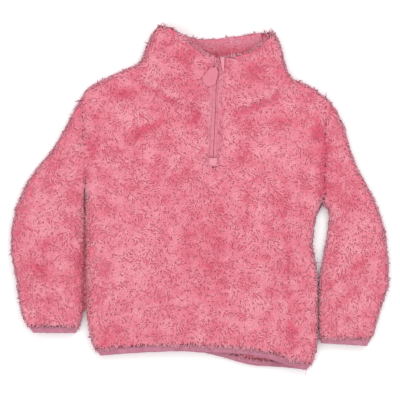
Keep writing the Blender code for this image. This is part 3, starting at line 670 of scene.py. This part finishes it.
def tint_pile(mesh, places, edge, deeper, lit_above, rng):
    """Colours each lock from its deeper root, which is painted shade between the locks, to its light tip, in
    soft patches over the garment.
    """
    count = len(places)
    patch = MIDDLE_TONE - deeper
    for size, strength, seed in PATCHES:
        patch = patch + strength * drift(places, size, seed)
    # The pile's own patches, with painted shade and painted light, in ovals
    for spot in TONE_AND_SHADE_SPOTS:
        off_x = (places[:, 0] / MM - spot.x) / spot.half_x
        off_y = (places[:, 1] / MM - spot.y) / spot.half_y
        patch += spot.tone * np.exp(-(off_x**2) - off_y**2)
    # Painted shade and painted highlight along creases and seams
    for run, tone in LIGHT_AND_SHADE_RUNS:
        patch += tone * nearness(places, run)
    patch = np.clip(patch + rng.normal(0, TONE_SPREAD, count), *TONE_LIMITS)[:, None]
    tip = DEEP_TIP + (LIGHT_TIP - DEEP_TIP) * patch
    root = DEEP_ROOT + (LIGHT_ROOT - DEEP_ROOT) * patch
    edge = edge[:, None] * rng.uniform(0.6, 1, (count, 1))
    pale = np.clip((places[:, 1] - lit_above) / LIT_TOP_FADE, 0, 1)[:, None]
    # Locks at an edge take a painted sheen, and the top of the collar lining takes painted light
    for colour, amount, tip_share in ((RIM_SHEEN_TIP, edge, 0.65), (LIT_TOP_TIP, pale, 0.8)):
        tip = tip + (colour - tip) * amount * tip_share
        root = root + (colour - root) * amount * ROOT_SHARE
    colours = np.clip(root[:, None] + (tip - root)[:, None] * CORNER_SHADES, 0, 1)
    rgba = np.concatenate([colours, np.ones((count, 8, 1))], axis=2)
    tint = mesh.color_attributes.new("pile_tint_and_shade", "FLOAT_COLOR", "POINT")
    tint.data.foreach_set("color", rgba.astype(np.float32).ravel())


CLOTH_BIAS = 1.3
SIDE_TURN = 1.995
FRINGE_EDGE = 0.5


def soften_pile(mesh, ups, across, fringe):
    """Shades each lock like the cloth below it, so the pile reads as one face. A fringe keeps its own."""
    ups = ups + CLOTH_BIAS * ups[:, :1]
    soft = np.empty((len(ups), 8, 3))
    soft[:, 0] = ups[:, 0]
    soft[:, 7] = ups[:, 3]
    for ring in (0, 1):
        for corner, sense in ((1, -1), (2, 1), (3, 0)):
            soft[:, corner + 3 * ring] = ups[:, 1 + ring] + across[:, ring] * sense * SIDE_TURN
    soft /= np.linalg.norm(soft, axis=2, keepdims=True)
    soft[fringe] = 0
    mesh.normals_split_custom_set_from_vertices(soft.reshape(-1, 3))


# How much deeper in colour a lining's pile is painted: painted shade, under the collar's front and under the
# front's hem
LINING_SHADE = 0.3


def add_arrays(name, points, faces, finish):
    """A piece of many small things, joined in one mesh from arrays. It rides on the garment."""
    mesh = bpy.data.meshes.new(name)
    mesh.from_pydata(points, [], faces)
    mesh.shade_smooth()
    mesh.materials.append(finish)
    piece = bpy.data.objects.new(name, mesh)
    bpy.context.scene.collection.objects.link(piece)
    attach(piece, "garment")
    return piece


def grow_pile(name, rooted, seed, length=LOCK_LENGTH, width=LOCK_WIDTH, lining=None):
    """One mesh of curled locks, rooted under the places, that lie along the cloth and end near its surface.

    The pile of a lining walks on its own sheet, is shorter, is painted deeper in colour as shade, and has no
    frayed outline.
    """
    places, normals = rooted
    count = len(places)
    rng = np.random.default_rng(seed)
    comb = comb_pile(places, normals, lining, rng)
    spine, ups = trace_spines(places, normals, comb, length, lining or garment_walk, rng)
    sink = sink_of_locks(normals, comb, lining is None, rng) * (LINING_PILE if lining else PILE_DEPTH)
    spine -= ups * sink[:, :, None]
    across = np.cross(ups[:, 1:3], spine[:, 2:] - spine[:, :2])
    across /= np.maximum(np.linalg.norm(across, axis=2, keepdims=True), 1e-9)
    girth = width * rng.uniform(*WIDTH_RANGE, (count, 1, 1)) * np.array([1.0, TAPER])[None, :, None]
    sides = [-across * girth / 2, across * girth / 2, ups[:, 1:3] * girth * RIDGE]
    rings = np.stack([spine[:, 1:3] + side for side in sides], axis=2).reshape(count, 6, 3)
    points = np.concatenate([spine[:, :1], rings, spine[:, 3:]], axis=1)
    points[:, :, 2] = np.maximum(points[:, :, 2], PRESSED_LEVEL)
    faces = np.array(LOCK_FACES)[None] + 8 * np.arange(count)[:, None, None]
    piece = add_arrays(name, points.reshape(-1, 3), faces.reshape(-1, 3), pile_staple)
    deeper, lit_above = (LINING_SHADE, LINING_LIT_ABOVE) if lining else (0, math.inf)
    tint_pile(piece.data, places, comb.edge * (1 - comb.bridged), deeper, lit_above, rng)
    soften_pile(piece.data, ups, across, (comb.edge > FRINGE_EDGE) | (comb.bridged > 0.25))
    return piece


# Curled polyester staple: matt, with a soft bloom of light on the fibres' ends
pile_staple, tree = new_material("brushed polyester staple")
tint = add_node(tree, "ShaderNodeAttribute", {"attribute_name": "pile_tint_and_shade"})
shader = add_node(
    tree,
    "ShaderNodeBsdfPrincipled",
    Base_Color=tint.outputs["Color"],
    Roughness=0.9,
    Specular_IOR_Level=0.2,
    Sheen_Weight=0.2,
    Sheen_Roughness=0.6,
)
add_node(tree, "ShaderNodeOutputMaterial", Surface=shader.outputs["BSDF"])


def evenly(centres):
    """The same number to every area."""
    return np.ones(len(centres))


def fuller_on_top(centres):
    """Full on the side that shows, and thinner underneath, where the pile is pressed flat."""
    return np.where(centres[:, 2] > 4 * MM, 1.0, 0.45)


front_places, front_normals = spread_roots(front_tips, 36000, evenly, 31)
for part, seed in enumerate((41, 42, 47)):
    low, high = np.quantile(front_places[:, 1], (part / 3, (part + 1) / 3))
    inside = (front_places[:, 1] > low) & (front_places[:, 1] <= high)
    rooted = (front_places[inside], front_normals[inside])
    grow_pile(f"front_pile_{part + 1}", rooted, seed)
back_roots = spread_roots(back_tips, 8900, evenly, 32)
back_pile = grow_pile("back_pile", back_roots, 43, length=LOCK_LENGTH * 1.3, width=LOCK_WIDTH * 2)
left_pile = grow_pile("sleeve_left_pile", spread_roots(left_tips, 9400, fuller_on_top, 33), 44)
right_pile = grow_pile("sleeve_right_pile", spread_roots(right_tips, 9800, fuller_on_top, 34), 45)
collar_pile = grow_pile("collar_pile", spread_roots(collar_tips, 9000, fuller_on_top, 35), 46)

# Where the right sleeve lies along the body, the pile of both closes the gap between them
GAP_LEVELS = np.linspace(-20 * MM, -166 * MM, 240)
GAP_REACHES = np.arange(60) * 0.2 * MM
GAP_INSETS = (0.6 * MM, 1.7 * MM, 2.8 * MM, 3.9 * MM)
GAP_SINK = 0.6 * MM

meeting_places = []
for level, sense in itertools.product(GAP_LEVELS, (1, -1)):
    for reach in GAP_REACHES:
        edge_x = SLEEVE_GAP.from_x * MM + sense * reach
        top = fall_on(garment_walk, edge_x, level)[0]
        if top is not None:
            inset = GAP_INSETS[len(meeting_places) % len(GAP_INSETS)]
            meeting_places.append((edge_x + sense * inset, level, top.z - GAP_SINK))
            break
meeting_places = np.array(meeting_places)
meeting_normals = np.tile(UP, (len(meeting_places), 1))
meeting_pile = grow_pile("sleeve_gap_pile", (meeting_places, meeting_normals), 49)

# The inside of the back is brushed too, which shows where the front's hem gapes. Its pile is painted deeper,
# as the front's shade.
INSIDE_X = np.arange(54, 124, 3) * MM
INSIDE_Y = np.arange(-258, -222, 3) * MM
INSIDE_DEPTH = 1.3 * MM
BINDING_CLEAR = 1.2 * MM

inside_grid = {}
for (column, x), (row, y) in itertools.product(enumerate(INSIDE_X), enumerate(INSIDE_Y)):
    inside = fall_on(solids["back"], x, y)[0]
    if inside is not None and covers["hem_binding"].find_nearest(inside)[3] > BINDING_CLEAR:
        inside_grid[column, row] = inside + UP * INSIDE_DEPTH
inside_corners = []
for column, row in inside_grid:
    ring = [(column, row), (column + 1, row), (column + 1, row + 1), (column, row + 1)]
    if all(corner in inside_grid for corner in ring):
        inside_corners.append([inside_grid[ring[corner]] for corner in (0, 1, 2)])
        inside_corners.append([inside_grid[ring[corner]] for corner in (0, 2, 3)])
inside_corners = np.array(inside_corners)
inside_tips = TipSheet(inside_corners, np.tile(UP, (len(inside_corners), 3, 1)))
inside_pile = grow_pile(
    "hem_inside_pile",
    spread_roots(inside_tips, 320, evenly, 37),
    50,
    length=5 * MM,
    lining=walk_on(inside_tips),
)


# Collar lining
# The inside of the collar is the same cloth with its pile brushed short and dense, so it's smoother. Its pile
# is painted deeper in colour, as shade under the collar's front, and paler towards the top, as light on its
# roll.

LINING_LEAN = 0.3
LINING_SET_IN = 0.6 * LINING_PILE
LINING_LENGTH = 4.6 * MM
LINING_WIDTH = 1.3 * MM

lining_shape = merged("collar_lining")
lining_shape.normal_update()
seen_faces = [face for face in lining_shape.faces if face.normal.z > LINING_LEAN]
lining_tips = tip_sheet(seen_faces)
for vert, normal in sheet_normals(seen_faces).items():
    vert.co -= normal * LINING_SET_IN
lining = add_piece("collar_lining_ground", lining_shape, ground_cloth)
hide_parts("collar_lining")
lining_roots = spread_roots(lining_tips, 2700, evenly, 36)
lining_walk = walk_on(lining_tips)
lining_pile = grow_pile("collar_lining_pile", lining_roots, 48, LINING_LENGTH, LINING_WIDTH, lining_walk)


# Bindings
# A flat knitted band with elastane is folded over the raw edge of the hem and of each cuff, and stitched
# through with one row of lockstitch near its upper edge, on both faces.

BAND_MOTTLE = 11.1 * MM
COLUMN_PITCH = 1.208 * MM
WAVE_AT_ONE = math.tau / 20  # a wave texture's pitch in metres where its scale is 1

# Knitted nylon and elastane: fine loops in columns across the band, with a slight sheen. Real columns are
# 0.4 mm apart, and are drawn at three times that so that they show.
binding_knit, tree = new_material("knitted elastane binding")
place = add_node(tree, "ShaderNodeTexCoord").outputs["Object"]
mottle = add_node(tree, "ShaderNodeTexNoise", Vector=place, Scale=1 / BAND_MOTTLE, Detail=3.0)
tone = add_node(tree, "ShaderNodeValToRGB", Fac=mottle.outputs["Fac"])
tone.color_ramp.elements[0].position = 0.3
tone.color_ramp.elements[0].color = linear("#ad647b")
tone.color_ramp.elements[1].position = 0.75
tone.color_ramp.elements[1].color = linear("#c27b92")
columns = add_node(
    tree,
    "ShaderNodeTexWave",
    {"wave_type": "BANDS", "bands_direction": "X"},
    Vector=place,
    Scale=WAVE_AT_ONE / COLUMN_PITCH,
    Distortion=1.5,
    Detail=2.0,
    Detail_Scale=3.0,
)
relief = add_node(tree, "ShaderNodeBump", Height=columns.outputs["Fac"], Strength=0.35, Distance=0.4 * MM)
shader = add_node(
    tree,
    "ShaderNodeBsdfPrincipled",
    Base_Color=tone.outputs["Color"],
    Roughness=0.7,
    Sheen_Weight=0.25,
    Normal=relief.outputs["Normal"],
)
add_node(tree, "ShaderNodeOutputMaterial", Surface=shader.outputs["BSDF"])

STITCH_PITCH = 2.6 * MM
STITCH_LENGTH = 1.9 * MM
THREAD_RADIUS = 0.24 * MM
THREAD_SHOULDERS = (0.18, 0.82)
THREAD_TWIST = 0.349 * MM

# Spun polyester thread, dyed to match: a little brighter than the cloth that it's sunk into
sewing_thread, tree = new_material("polyester sewing thread")
place = add_node(tree, "ShaderNodeTexCoord").outputs["Object"]
twist = add_node(
    tree,
    "ShaderNodeTexWave",
    {"wave_type": "BANDS", "bands_direction": "DIAGONAL"},
    Vector=place,
    Scale=WAVE_AT_ONE / THREAD_TWIST,
)
tone = add_node(tree, "ShaderNodeValToRGB", Fac=twist.outputs["Fac"])
tone.color_ramp.elements[0].color = linear("#c5788d")
tone.color_ramp.elements[1].color = linear("#dd92a5")
shader = add_node(tree, "ShaderNodeBsdfPrincipled", Base_Color=tone.outputs["Color"], Roughness=0.5)
add_node(tree, "ShaderNodeOutputMaterial", Surface=shader.outputs["BSDF"])


def add_threads(name, starts, ends, ups, radius=THREAD_RADIUS, slot="binding"):
    """One mesh of short threads, each a four-sided run from a start to an end, with pointed ends."""
    starts = np.array(starts)
    ends = np.array(ends)
    ups = np.array(ups)
    count = len(starts)
    along = ends - starts
    across = np.cross(along, ups)
    across /= np.linalg.norm(across, axis=1, keepdims=True)
    points = [starts]
    for share in THREAD_SHOULDERS:
        middle = starts + along * share
        for side, rise in ((1, 0), (0, 1), (-1, 0), (0, -1)):
            points.append(middle + across * radius * side + ups * radius * rise)
    points.append(ends)
    faces = []
    for start, end in ((0, 1), (1, 2), (2, 3), (3, 0)):
        faces.append((0, 1 + end, 1 + start))
        faces.append((1 + start, 1 + end, 5 + end))
        faces.append((1 + start, 5 + end, 5 + start))
        faces.append((5 + start, 5 + end, 9))
    all_faces = np.array(faces)[None] + 10 * np.arange(count)[:, None, None]
    points = np.stack(points, axis=1).reshape(-1, 3)
    piece = add_arrays(name, points, all_faces.reshape(-1, 3), sewing_thread)


END_MARGIN = 3 * MM
EDGE_STEP = 0.5 * MM
EDGE_FACING = 0.6
STITCH_INSET = 2.4 * MM


def band_row(node, way):
    """Starts, ends and ups of a row of stitches near a binding's upper edge, on the face the way meets."""
    low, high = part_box(node)
    row = []
    for x in np.arange(low[0] + END_MARGIN, high[0] - END_MARGIN, STITCH_PITCH):
        for y in np.arange(high[1], low[1], -EDGE_STEP):
            spot, normal = fall_on(covers[node], x, y, way)
            if spot is not None and normal.dot(way) < -EDGE_FACING:
                spot, _ = fall_on(covers[node], x, y - STITCH_INSET, way)
                if spot is not None:
                    row.append(spot)
                break
    half = Vector((STITCH_LENGTH / 2, 0, 0))
    return [spot - half for spot in row], [spot + half for spot in row], [-way] * len(row)


PUCKER_SIZE = 11 * MM
BAND_PUCKER = 0.22 * MM


def finer(node, name, finish, pucker):
    """A finer copy of a cloth solid, puckered a little between its stitches. It takes the node's place."""
    shape = refined(node)
    verts = list(shape.verts)
    draws = drift(np.array([vert.co for vert in verts]), PUCKER_SIZE, 51) * pucker
    for vert, draw in zip(verts, draws):
        vert.co += vert.normal * float(draw)
        vert.co.z = max(vert.co.z, PRESSED_LEVEL)
    covers[node] = BVHTree.FromBMesh(shape)
    piece = add_piece(name, shape, finish)
    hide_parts(node)
    return piece


for node in BINDINGS:
    finer(node, f"{node}_knitted", binding_knit, BAND_PUCKER)
    upper, under = band_row(node, DOWN), band_row(node, UP)
    add_threads(f"{node}_stitches", *(over + below for over, below in zip(upper, under)))

# One seam's thread was left uncut at the hem's corner, and hangs to the ground
TAIL_PATH = [
    (160, -257, 4.5),
    (160.6, -260, 3.4),
    (159.6, -263, 2.2),
    (158.6, -265.5, 1.2),
    (158.9, -268, 0.8),
]
TAIL_RADIUS = 0.3 * MM

tail_points = [Vector(spot) * MM for spot in TAIL_PATH]
add_threads("thread_tail", tail_points[:-1], tail_points[1:], [UP] * (len(TAIL_PATH) - 1), radius=TAIL_RADIUS)


# Zip
# A nylon coil zip is sewn in with its coil to the back, so that only the two woven tapes and the slit between
# them show. The coil's loops are seen from inside and in the slit.

SLIT_LEVELS = ((47, 19.0), (95, 21.5), (129, 23.3), (212, 25.5))  # y, and x of the slit
SLIT_HALF = 0.28 * MM
RIB_PITCH = 1.047 * MM
TAPE_MOTTLE = 4.545 * MM

# Woven polyester, dyed to match: fine ribs across the tape, matt, and drawn twice as coarse as real ones.
tape_weave, tree = new_material("woven polyester tape")
place = add_node(tree, "ShaderNodeTexCoord").outputs["Object"]
ribs = add_node(
    tree,
    "ShaderNodeTexWave",
    {"wave_type": "BANDS", "bands_direction": "Y"},
    Vector=place,
    Scale=WAVE_AT_ONE / RIB_PITCH,
    Distortion=0.6,
    Detail=1.0,
)
mottle = add_node(tree, "ShaderNodeTexNoise", Vector=place, Scale=1 / TAPE_MOTTLE, Detail=2.0)
tone = add_node(tree, "ShaderNodeValToRGB", Fac=mottle.outputs["Fac"])
tone.color_ramp.elements[0].position = 0.3
tone.color_ramp.elements[0].color = linear("#cc7084")
tone.color_ramp.elements[1].position = 0.75
tone.color_ramp.elements[1].color = linear("#dc8294")
relief = add_node(tree, "ShaderNodeBump", Height=ribs.outputs["Fac"], Strength=0.3, Distance=0.3 * MM)
shader = add_node(
    tree,
    "ShaderNodeBsdfPrincipled",
    Base_Color=tone.outputs["Color"],
    Roughness=0.65,
    Normal=relief.outputs["Normal"],
)
add_node(tree, "ShaderNodeOutputMaterial", Surface=shader.outputs["BSDF"])

EDGE_STREAK = 3.03 * MM

# The fleece's turned edge: pile pressed flat by the presser foot, so lighter and closer than the open pile
turned_fleece, tree = new_material("pressed fleece edge")
place = add_node(tree, "ShaderNodeTexCoord").outputs["Object"]
streaks = add_node(tree, "ShaderNodeTexNoise", Vector=place, Scale=1 / EDGE_STREAK, Detail=3.0)
tone = add_node(tree, "ShaderNodeValToRGB", Fac=streaks.outputs["Fac"])
tone.color_ramp.elements[0].position = 0.3
tone.color_ramp.elements[0].color = linear("#d97389")
tone.color_ramp.elements[1].position = 0.7
tone.color_ramp.elements[1].color = linear("#ee92a5")
relief = add_node(tree, "ShaderNodeBump", Height=streaks.outputs["Fac"], Strength=0.6, Distance=0.6 * MM)
shader = add_node(
    tree,
    "ShaderNodeBsdfPrincipled",
    Base_Color=tone.outputs["Color"],
    Roughness=0.9,
    Sheen_Weight=0.2,
    Normal=relief.outputs["Normal"],
)
add_node(tree, "ShaderNodeOutputMaterial", Surface=shader.outputs["BSDF"])

COIL_SHADE = 1.667 * MM

# Nylon monofilament, dyed to match: smooth, and deep in the slit's shade
coil_nylon, tree = new_material("nylon coil")
place = add_node(tree, "ShaderNodeTexCoord").outputs["Object"]
shade = add_node(tree, "ShaderNodeTexNoise", Vector=place, Scale=1 / COIL_SHADE, Detail=1.0)
tone = add_node(tree, "ShaderNodeValToRGB", Fac=shade.outputs["Fac"])
tone.color_ramp.elements[0].color = linear("#b8687f")
tone.color_ramp.elements[1].color = linear("#cd7d93")
shader = add_node(tree, "ShaderNodeBsdfPrincipled", Base_Color=tone.outputs["Color"], Roughness=0.4)
add_node(tree, "ShaderNodeOutputMaterial", Surface=shader.outputs["BSDF"])

slit_y, slit_x = (np.array(column) * MM for column in zip(*SLIT_LEVELS))
for node in ("zip_tape_left", "zip_tape_right"):
    tape = refined(node)
    sense = 1 if node == "zip_tape_left" else -1
    for vert in tape.verts:
        edge_x = np.interp(vert.co.y, slit_y, slit_x) + sense * SLIT_HALF
        if (vert.co.x - edge_x) * sense < 0:
            vert.co.x = edge_x
    piece = add_piece(f"{node}_woven", tape, tape_weave)
    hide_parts(node)

# The fleece is turned under along the slit, and its folded edge stands as a soft roll beside each tape. Each
# level gives y, and x of both edges.
EDGE_LEVELS = ((47, 11.6, 26.5), (95, 14.3, 26.2), (129, 16.2, 26.0), (212, 20.5, 29.5))
ROLL_FOOT = 47 * MM
ROLL_TOP = 204 * MM
ROLL_STEPS = 60
ROLL_SIDES = 8
ROLL_HEIGHT = 0.9 * MM
ROLL_SINK = 1.5 * MM
ROLL_WAVES = ((1.1, 0.15 * MM), (0.43, 0.2 * MM))
CLOTH_REACH = 2 * MM

level_y, edge_right, edge_left = (np.array(column) * MM for column in zip(*EDGE_LEVELS))
roll_shape = bmesh.new()
for edge_x, sense, half_width in ((edge_right, -1, 1.7 * MM), (edge_left, 1, 1.3 * MM)):
    ring = []
    for step, level in enumerate(np.linspace(ROLL_FOOT, ROLL_TOP, ROLL_STEPS)):
        centre_x = np.interp(level, level_y, edge_x) + sense * half_width * 0.55
        top = fall_on(garment_walk, centre_x + sense * CLOTH_REACH, level)[0]
        sink = ROLL_SINK + sum(math.sin(step * pace) * depth for pace, depth in ROLL_WAVES)
        hub = Vector((centre_x, level, top.z - sink))
        if ring:
            grown = bmesh.ops.extrude_edge_only(roll_shape, edges=ring_edges)["geom"]
            ring = [part for part in grown if isinstance(part, bmesh.types.BMVert)]
            ring_edges = [part for part in grown if isinstance(part, bmesh.types.BMEdge)]
            bmesh.ops.translate(roll_shape, verts=ring, vec=hub - last_hub)
        else:
            upright = Matrix.Translation(hub) @ Matrix.Rotation(math.pi / 2, 4, "X")
            oval = upright @ Matrix.Diagonal((half_width, ROLL_HEIGHT, 1, 1))
            ring = bmesh.ops.create_circle(
                roll_shape,
                cap_ends=True,
                segments=ROLL_SIDES,
                radius=1,
                matrix=oval,
            )["verts"]
            ring_edges = list(ring[0].link_faces[0].edges)
        last_hub = hub
    bmesh.ops.contextual_create(roll_shape, geom=ring_edges)
bmesh.ops.recalc_face_normals(roll_shape, faces=roll_shape.faces)
roll = add_piece("zip_turned_edges", roll_shape, turned_fleece, smooth_angle=80)

# The coil is a wire wound in ovals, one row of loops to a tape, and the two rows mesh half a pitch apart
COIL_PITCH = 1.25 * MM
COIL_WIRE = 0.36 * MM
COIL_MARGIN = 1 * MM
LOOP_OFFSET = 1.1 * MM
LOOP_HALF = 1.9 * MM
LOOP_SLANT = 0.25 * MM
RING_STEPS = 10
WIRE_SIDES = 4

coil_low, coil_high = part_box("zip_coil")
coil_tree = BVHTree.FromBMesh(merged("zip_coil"))
wire_points = []
wire_faces = []
for level in np.arange(coil_low[1] + COIL_MARGIN, coil_high[1] - COIL_MARGIN, COIL_PITCH):
    centre_x = np.interp(level, slit_y, slit_x)
    top = fall_on(coil_tree, centre_x, level)[0]
    bottom = fall_on(coil_tree, centre_x, level, UP)[0]
    if top is None or bottom is None:
        continue
    half_z = (top.z - bottom.z) / 2 - COIL_WIRE
    middle_z = (top.z + bottom.z) / 2
    for sense in (1, -1):
        base = len(wire_points)
        middle = Vector((centre_x + sense * LOOP_OFFSET, level + sense * COIL_PITCH / 4, middle_z))
        for step in range(RING_STEPS):
            turn = math.tau * step / RING_STEPS
            out = Vector((math.cos(turn), 0, math.sin(turn)))
            hub = middle + Vector((out.x * LOOP_HALF, out.x * LOOP_SLANT, out.z * half_z))
            for side in range(WIRE_SIDES):
                round_wire = math.tau * side / WIRE_SIDES
                offset = out * math.cos(round_wire) + Vector((0, 1, 0)) * math.sin(round_wire)
                wire_points.append(hub + offset * COIL_WIRE)
        for step, side in itertools.product(range(RING_STEPS), range(WIRE_SIDES)):
            after = (step + 1) % RING_STEPS
            beside = (side + 1) % WIRE_SIDES
            corners = ((step, side), (after, side), (after, beside), (step, beside))
            wire_faces.append([base + ring * WIRE_SIDES + corner for ring, corner in corners])
coil = add_arrays("zip_coil_loops", wire_points, wire_faces, coil_nylon)
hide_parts("zip_coil")

PAINT_RIPPLE = 1.111 * MM
VINYL_CLOUD = 7.14 * MM

# Zinc casting under a baked paint in the cloth's colour: smooth, with a low gloss
painted_zinc, tree = new_material("painted zinc")
place = add_node(tree, "ShaderNodeTexCoord").outputs["Object"]
orange_peel = add_node(tree, "ShaderNodeTexNoise", Vector=place, Scale=1 / PAINT_RIPPLE, Detail=1.0)
tone = add_node(tree, "ShaderNodeValToRGB", Fac=orange_peel.outputs["Fac"])
tone.color_ramp.elements[0].color = linear("#bd6a80")
tone.color_ramp.elements[1].color = linear("#cc778c")
relief = add_node(tree, "ShaderNodeBump", Height=orange_peel.outputs["Fac"], Strength=0.1, Distance=0.1 * MM)
shader = add_node(
    tree,
    "ShaderNodeBsdfPrincipled",
    Base_Color=tone.outputs["Color"],
    Roughness=0.35,
    Normal=relief.outputs["Normal"],
)
add_node(tree, "ShaderNodeOutputMaterial", Surface=shader.outputs["BSDF"])
nodes["zip_slider"].data.materials[0] = painted_zinc

# Soft moulded vinyl: satin, with a faint cloudiness in the colour
moulded_vinyl, tree = new_material("soft moulded vinyl")
place = add_node(tree, "ShaderNodeTexCoord").outputs["Object"]
cloud = add_node(tree, "ShaderNodeTexNoise", Vector=place, Scale=1 / VINYL_CLOUD, Detail=2.0)
tone = add_node(tree, "ShaderNodeValToRGB", Fac=cloud.outputs["Fac"])
tone.color_ramp.elements[0].color = linear("#cd6d81")
tone.color_ramp.elements[1].color = linear("#da7f91")
shader = add_node(tree, "ShaderNodeBsdfPrincipled", Base_Color=tone.outputs["Color"], Roughness=0.45)
add_node(tree, "ShaderNodeOutputMaterial", Surface=shader.outputs["BSDF"])
nodes["zip_pull"].data.materials[0] = moulded_vinyl

TRIM_PUCKER = 0.12 * MM
TRIM_WEAVE = 2 * MM
PATCH_EDGE = 1 * MM
PATCH_OVERHANG = 1.5 * MM

# Woven tape with a slight shine, cut short and folded for the garage and the patch over the zip's foot. The
# weave is drawn four times as coarse as real threads.
trim_weave, tree = new_material("woven trim")
place = add_node(tree, "ShaderNodeTexCoord").outputs["Object"]
weave = add_node(tree, "ShaderNodeTexNoise", Vector=place, Scale=1 / TRIM_WEAVE, Detail=2.0)
tone = add_node(tree, "ShaderNodeValToRGB", Fac=weave.outputs["Fac"])
tone.color_ramp.elements[0].color = linear("#d78193")
tone.color_ramp.elements[1].color = linear("#e3929f")
relief = add_node(tree, "ShaderNodeBump", Height=weave.outputs["Fac"], Strength=0.4, Distance=0.3 * MM)
shader = add_node(
    tree,
    "ShaderNodeBsdfPrincipled",
    Base_Color=tone.outputs["Color"],
    Roughness=0.55,
    Normal=relief.outputs["Normal"],
)
add_node(tree, "ShaderNodeOutputMaterial", Surface=shader.outputs["BSDF"])
finer("zip_garage", "zip_garage_woven", trim_weave, TRIM_PUCKER)
patch = finer("zip_end_patch", "zip_end_patch_woven", trim_weave, TRIM_PUCKER)
patch_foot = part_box("zip_end_patch")[0][1]
for vert in patch.data.vertices:
    if vert.co.y < patch_foot + PATCH_EDGE:
        vert.co.y -= PATCH_OVERHANG


# Topstitching
# One row of lockstitch runs down each side of the zip, and holds the turned edge and the tape. It's sunk in
# the pile, so only a thread here and there is seen.

STITCH_RUNS = [
    Crease(0, 168, -2, 41, 0, 0),
    Crease(52, 196, 54, 140, 0, 0),
    Crease(58, 128, 61, 62, 0, 0),
]
STITCH_SINK = 0.55 * PILE_DEPTH

starts, ends, ups = [], [], []
for run in STITCH_RUNS:
    first = Vector((run.from_x, run.from_y, 0)) * MM
    last = Vector((run.to_x, run.to_y, 0)) * MM
    way = (last - first).normalized()
    for distance in np.arange(0, (last - first).length, STITCH_PITCH):
        spot = first + way * float(distance)
        near, normal = fall_on(garment_walk, spot.x, spot.y)
        if near is not None:
            middle = near - normal * STITCH_SINK
            starts.append(middle - way * STITCH_LENGTH / 2)
            ends.append(middle + way * STITCH_LENGTH / 2)
            ups.append(normal)
add_threads("zip_topstitching", starts, ends, ups, slot="fleece")
